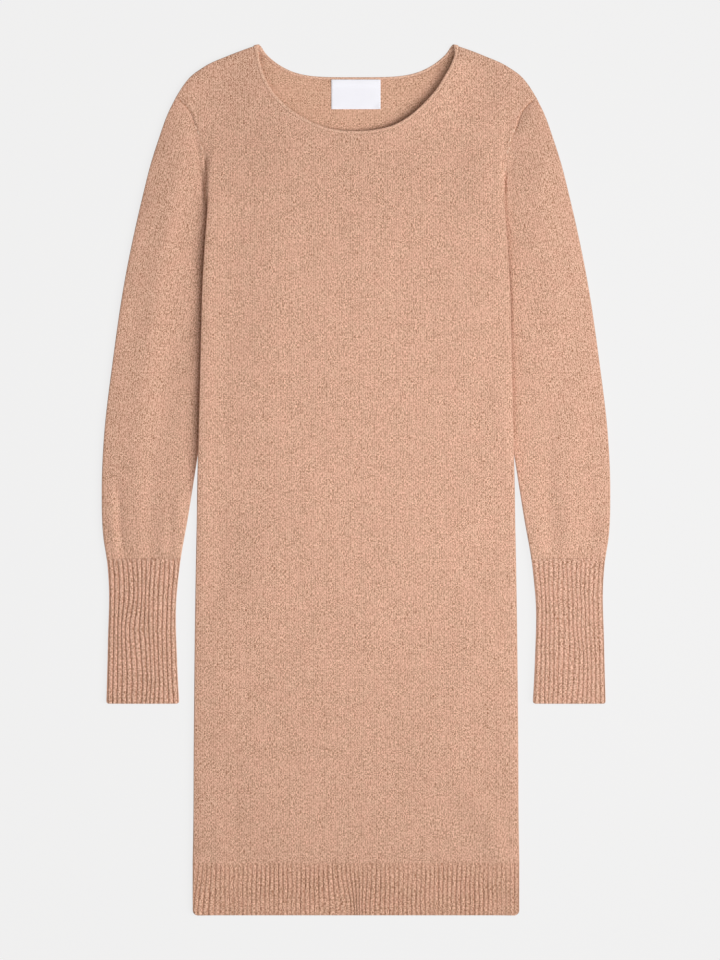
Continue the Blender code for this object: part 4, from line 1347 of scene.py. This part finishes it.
def cuffPlace(around, y, depth):
    # A point round the flattened cuff, at a depth in from its outer skin.
    radius = cuff["roll"]
    skin = radius - depth
    outerEnd = readTable(sleeveOuter, y) - cloth["narrow"] * radius
    innerEnd = readTable(sleeveInner, y) + cloth["narrow"] * radius
    flat = outerEnd - innerEnd
    quarter = math.pi * radius / 2
    total = 2.0 * flat + 4.0 * quarter
    s = np.mod(around, 1.0) * total
    wave = np.sin(math.pi * np.clip((s - quarter) / flat, 0.0, 1.0))
    outerTurn = np.where(s < quarter, s, s - total) / radius
    innerTurn = (s - quarter - flat) / radius + math.pi / 2
    outerX = outerEnd + cloth["narrow"] * skin * np.cos(outerTurn)
    outerZ = radius + skin * np.sin(outerTurn)
    innerX = innerEnd + cloth["narrow"] * skin * np.cos(innerTurn)
    innerZ = radius + skin * np.sin(innerTurn)
    topZ = 2.0 * radius + cuff["dome"] * wave - depth
    parts = [s < quarter, s < quarter + flat, s < 3.0 * quarter + flat, s < 3.0 * quarter + 2.0 * flat]
    xs = [outerX, outerEnd - (s - quarter), innerX, innerEnd + (s - 3.0 * quarter - flat)]
    x = np.select(parts, xs, outerX)
    z = np.select(parts, [outerZ, topZ, innerZ, depth], outerZ)
    return x, z, np.select(parts[:2], [0.0, wave]), total


def makeCuff(name, side):
    shell = ClothShell()
    ribs = cuff["ribs"]
    place = np.linspace(0.0, 1.0, ribs * rib["columnsEach"] + 1)[None, :]
    topY = body["cuffY"] - cloth["seamGap"] / 2
    down, depth = bandRows(cuff, topY - cuff["endY"])
    y = topY - down
    x, z, inTop, total = cuffPlace(place, y, depth)
    wave = rumple(x * 1.6, y, 46.0, 31 + side) + 0.5 * rumple(x * 2.0, y, 24.0, 35 + side)
    x, z, inTop, total = cuffPlace(place + cuff["wave"] * wave * inTop / total, y, depth)
    nearEdge = np.minimum(readTable(sleeveOuter, y) - x, x - readTable(sleeveInner, y))
    rounded = cornerRise(cuff, nearEdge) * ramp(y, cuff["endY"] + 14.0, cuff["endY"])
    weight = valleyStart(cuff, place, down) * (depth < 1.0)
    u = side * place * ribs * rib["pitch"]
    keys = shell.grid(side * x, y + rounded, z, u, y, rib=place * ribs, weight=weight)
    shell.strip(keys[-1], keys[0])
    return shell.build(name, sharp=60.0)


def finishRibs(piece, depth, material):
    runTree(piece, ribKnit, dict(ribSettings, Depth=depth * mm, Material=material))
    piece.data.shade_smooth()
    piece.data.set_sharp_from_angle(angle=math.radians(75.0))


leftCuff = makeCuff("leftCuff", leftSide)
rightCuff = makeCuff("rightCuff", rightSide)

hem = {
    "ribs": 75,
    "depth": 0.85,
    "corner": 6.0,
    "rows": 24,
    "insideRows": 6,
    "endRows": 1.375,
    "span": 55.0,  # from its seam to its lower edge
    "wave": 0.45,
    "start": 2.0,
    "startReach": 5.0,
    # Places where the front's ribs lean sideways towards the edge: (x, half width, lean).
    "leans": ((-161.0, 15.0, -5.5), (-14.0, 15.0, 6.0), (12.0, 12.0, -2.5)),
    "dimple": (-4.0, -446.0, 6.0, 0.9),  # x, y, half width and depth
}


def makeHem(name, face):
    # A flat band whose two ends turn down to the fold that it shares with the other band.
    shell = ClothShell()
    ribs = hem["ribs"]
    radius = cloth["roll"]
    quarter = math.pi * radius / 2
    topY = body["hemSeamY"] - cloth["seamGap"]
    half = readTable(sideEdge, topY)
    flat = 2.0 * (half - foldWidth)
    total = flat + 2.0 * quarter
    place = np.linspace(0.0, 1.0, ribs * rib["columnsEach"] + 1)[None, :]
    down, depth = bandRows(hem, hem["span"])
    roughX = (place - 0.5) * total
    wave = rumple(roughX, down, 38.0, 41 + face) + 0.6 * rumple(roughX, down, 17.0, 44 + face)
    wave = hem["wave"] * wave * ramp(half - np.abs(roughX), 0.0, 25.0)
    down = down / hem["span"]
    if face == frontFace:
        for centre, reach, lean in hem["leans"]:
            wave = wave + lean * smoothStep(down) * bell(roughX - centre, reach)
    s = place * total + wave
    turned = (s < quarter) | (s > flat + quarter)
    end = np.where(s < total / 2, s, total - s)
    turn = np.clip(end / radius, 0.0, math.pi / 2)
    skin = radius - depth
    x = np.where(turned, half - cloth["narrow"] * (radius - skin * np.cos(turn)), total / 2 - end)
    x = np.where(s < total / 2, -x, x)
    distance = half - np.abs(x)
    y = mix(topY, body["hemY"] + cornerRise(hem, distance), down)
    rolled = radius + face * np.maximum(skin * np.sin(turn), cloth["seamGap"] / 2)
    if face == frontFace:
        centreX, centreY, reach, sink = hem["dimple"]
        dimple = sink * bell(np.hypot(x - centreX, y - centreY), reach)
        level = panelHeight(face, "outer", x, y) - depth - dimple
    else:
        level = depth
    weight = valleyStart(hem, place, topY - y) * (depth < 1.0) * ramp(distance, -2.0, 1.0)
    weight = weight * (0.85 + 0.3 * rumple(x, y, 30.0, 47))
    z = np.where(turned, rolled, level)
    keys = shell.grid(x, y, z, place * ribs * rib["pitch"], y, rib=place * ribs, weight=weight)
    shell.strip(keys[-1], keys[0])
    shell.faces += [tuple(keys[:, end].tolist()) for end in (0, -1)]
    return shell.build(name, sharp=60.0)


frontHem = makeHem("frontHem", frontFace)
backHem = makeHem("backHem", backFace)
# The wearer's left cuff, on the side the key light comes from, gets the lighter copy: painted light.
finishRibs(leftCuff, cuff["depth"][leftSide], cashmereRibPaintedLight)
finishRibs(rightCuff, cuff["depth"][rightSide], cashmereRib)
for piece in (frontHem, backHem):
    finishRibs(piece, hem["depth"], cashmereHemRib)
ribbed = (leftCuff, rightCuff, frontHem, backHem)
print("cuffs and hem:", [len(piece.data.polygons) for piece in ribbed])


# Stitches along the seams, and the marks where the knit was narrowed

linking = {
    "spacing": 3.3,
    "length": 2.6,
    "width": 0.9,
    "height": 0.7,
    "sink": 0.15,
    "seed": 11,
}
marks = {
    # Half width and y of each, on the body beside the armhole
    "places": {
        leftSide: ((165.6, 367), (161.5, 357), (160.7, 348), (159.1, 344.4), (156.5, 326)),
        rightSide: ((168, 370), (165.5, 365), (161.6, 348.5)),
    },
    "spacing": 5.0,  # more than a line's length, so that only its two ends get a stitch
    "length": 3.6,
    "width": 1.5,
    "height": 1.1,
    "seed": 12,
}


def stitchTree():
    # Lays a low, rounded stitch every so often along each line.
    tree, given = newTree("stitchRow", ("Spacing", "Length", "Width", "Height", "Unevenness"))
    add = partial(addNode, tree)
    curve = add("GeometryNodeMeshToCurve", [given["Geometry"]])
    even = add("GeometryNodeResampleCurve", {"Curve": curve, "Length": given["Spacing"]}, mode="LENGTH")
    ball = add("GeometryNodeMeshIcoSphere", {"Radius": 0.5, "Subdivisions": 2})
    smooth = add("GeometryNodeSetShadeSmooth", [ball])
    tangent = add("GeometryNodeInputTangent")
    along = add("FunctionNodeAlignRotationToVector", {"Vector": tangent}, axis="X")
    chance = add("FunctionNodeRandomValue", {"Seed": given["Seed"]}, data_type="FLOAT")
    uneven = add("Math MULTIPLY", [add("Math SUBTRACT", [chance, 0.5]), given["Unevenness"]])
    twist = {"Rotation": along, "Rotate By": add("CombineXYZ", {"Z": uneven})}
    turned = add("FunctionNodeRotateRotation", twist, rotation_space="LOCAL")
    size = add("CombineXYZ", [given["Length"], given["Width"], given["Height"]])
    scaled = add("VectorMath SCALE", {0: size, "Scale": add("Math ADD", [uneven, 1.0])})
    laying = {"Points": even, "Instance": smooth, "Rotation": turned, "Scale": scaled}
    real = add("GeometryNodeRealizeInstances", [add("GeometryNodeInstanceOnPoints", laying)])
    dressed = add("GeometryNodeSetMaterial", {"Geometry": real, "Material": given["Material"]})
    add("NodeGroupOutput", [dressed])
    return tree


stitchRow = stitchTree()


def layStitches(name, lines, sizes, material):
    points = []
    edges = []
    for line in lines:
        edges += [(len(points) + step, len(points) + step + 1) for step in range(len(line) - 1)]
        points += [tuple(np.array(place) * mm) for place in line]
    mesh = bpy.data.meshes.new(name)
    mesh.from_pydata(points, edges, [])
    settings = {label.title(): sizes[label] * mm for label in ("spacing", "length", "width", "height")}
    settings.update(Unevenness=0.35, Seed=sizes["seed"], Material=material)
    return runTree(addObject(name, mesh), stitchRow, settings)


def onFront(x, y, rise):
    return np.stack([x, y, panelHeight(frontFace, "outer", x, y) + rise], axis=-1)


armLines = []
markLines = []
for side in (leftSide, rightSide):
    y = np.linspace(body["tipY"] - 4.0, creases["linkFootY"] - 12.0, 30)
    armLines.append(onFront(side * (readTable(armhole, y) - 0.4), y, -linking["sink"]))
    for half, y in marks["places"][side]:
        along = np.array([-0.2, 0.2])
        markLines.append(onFront(side * (half + 0.25 * along), y + along, 0.1))
armStitches = layStitches("armholeStitches", armLines, linking, linkingYarn)
markStitches = layStitches("narrowingMarks", markLines, marks, markHighlightYarn)
for piece in (armStitches, markStitches):
    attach(piece, "root")

tacks = {
    "inset": 1.3,  # from the label's two short ends
    "spacing": 2.4,
    "length": 1.7,
    "width": 0.35,
    "height": 0.3,
    "seed": 13,
}
tackLines = []
for side in (leftSide, rightSide):
    y = np.linspace(label["topY"] - tacks["inset"], label["topY"] - label["depth"] + tacks["inset"], 20)
    x = np.full(len(y), side * (label["width"] / 2 - tacks["inset"]))
    tackLines.append(np.stack([x, y, labelHeight(x, y) + label["thick"] / 2], axis=-1))
labelTacks = layStitches("labelTacks", tackLines, tacks, labelThread)
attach(labelTacks, "root")


# Every piece rides on the one body and stands in for its solid, which is hidden; the size of its flat
# cut is printed.


def flatCut(piece):
    # Width, length and area in metres of a piece's knit, laid out flat, all round on a tube.
    mesh = piece.data
    corners = np.empty(len(mesh.loops) * 2, dtype=np.float32)
    mesh.uv_layers["knit"].uv.foreach_get("vector", corners)
    corners = corners.reshape(-1, 2).astype(float) * mm
    mesh.calc_loop_triangles()
    triangles = np.array([triangle.loops[:] for triangle in mesh.loop_triangles])
    first, second, third = (corners[triangles[:, corner]] for corner in range(3))
    a = second - first
    b = third - first
    area = np.abs(a[:, 0] * b[:, 1] - a[:, 1] * b[:, 0]).sum() / 2
    width, length = np.ptp(corners, axis=0)
    return float(width), float(length), float(area / 2)


sheets = (
    (frontPanel, "front", "jersey", ["backPanel", "leftSleeve", "rightSleeve"]),
    (backPanel, "back", "jersey", ["leftSleeve", "rightSleeve"]),
    (leftSleeve, "sleeve_left", "jersey", ["backPanel"]),
    (rightSleeve, "sleeve_right", "jersey", ["backPanel"]),
    (leftCuff, "cuff_left", "rib", ["leftSleeve"]),
    (rightCuff, "cuff_right", "rib", ["rightSleeve"]),
    (frontHem, "hem_front", "rib", ["backHem"]),
    (backHem, "hem_back", "rib", ["backPanel"]),
    (neckTrim, "neck_trim", "trim", ["frontPanel", "backPanel"]),
    (neckLabel, "neck_label", "label", ["backPanel", "neckTrim"]),
)
for piece, node, slot, restsOn in sheets:
    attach(piece, "root")
    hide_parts(node)
    width, length, area = flatCut(piece)
    if piece is neckTrim:
        width = 0.011
        area = 0.0064 * length
    if piece is neckLabel:
        area = width * length
    print(f"{piece.name}: cut {width * 1000:.0f} x {length * 1000:.0f} mm, {area:.4f} square metres")
    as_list(restsOn)
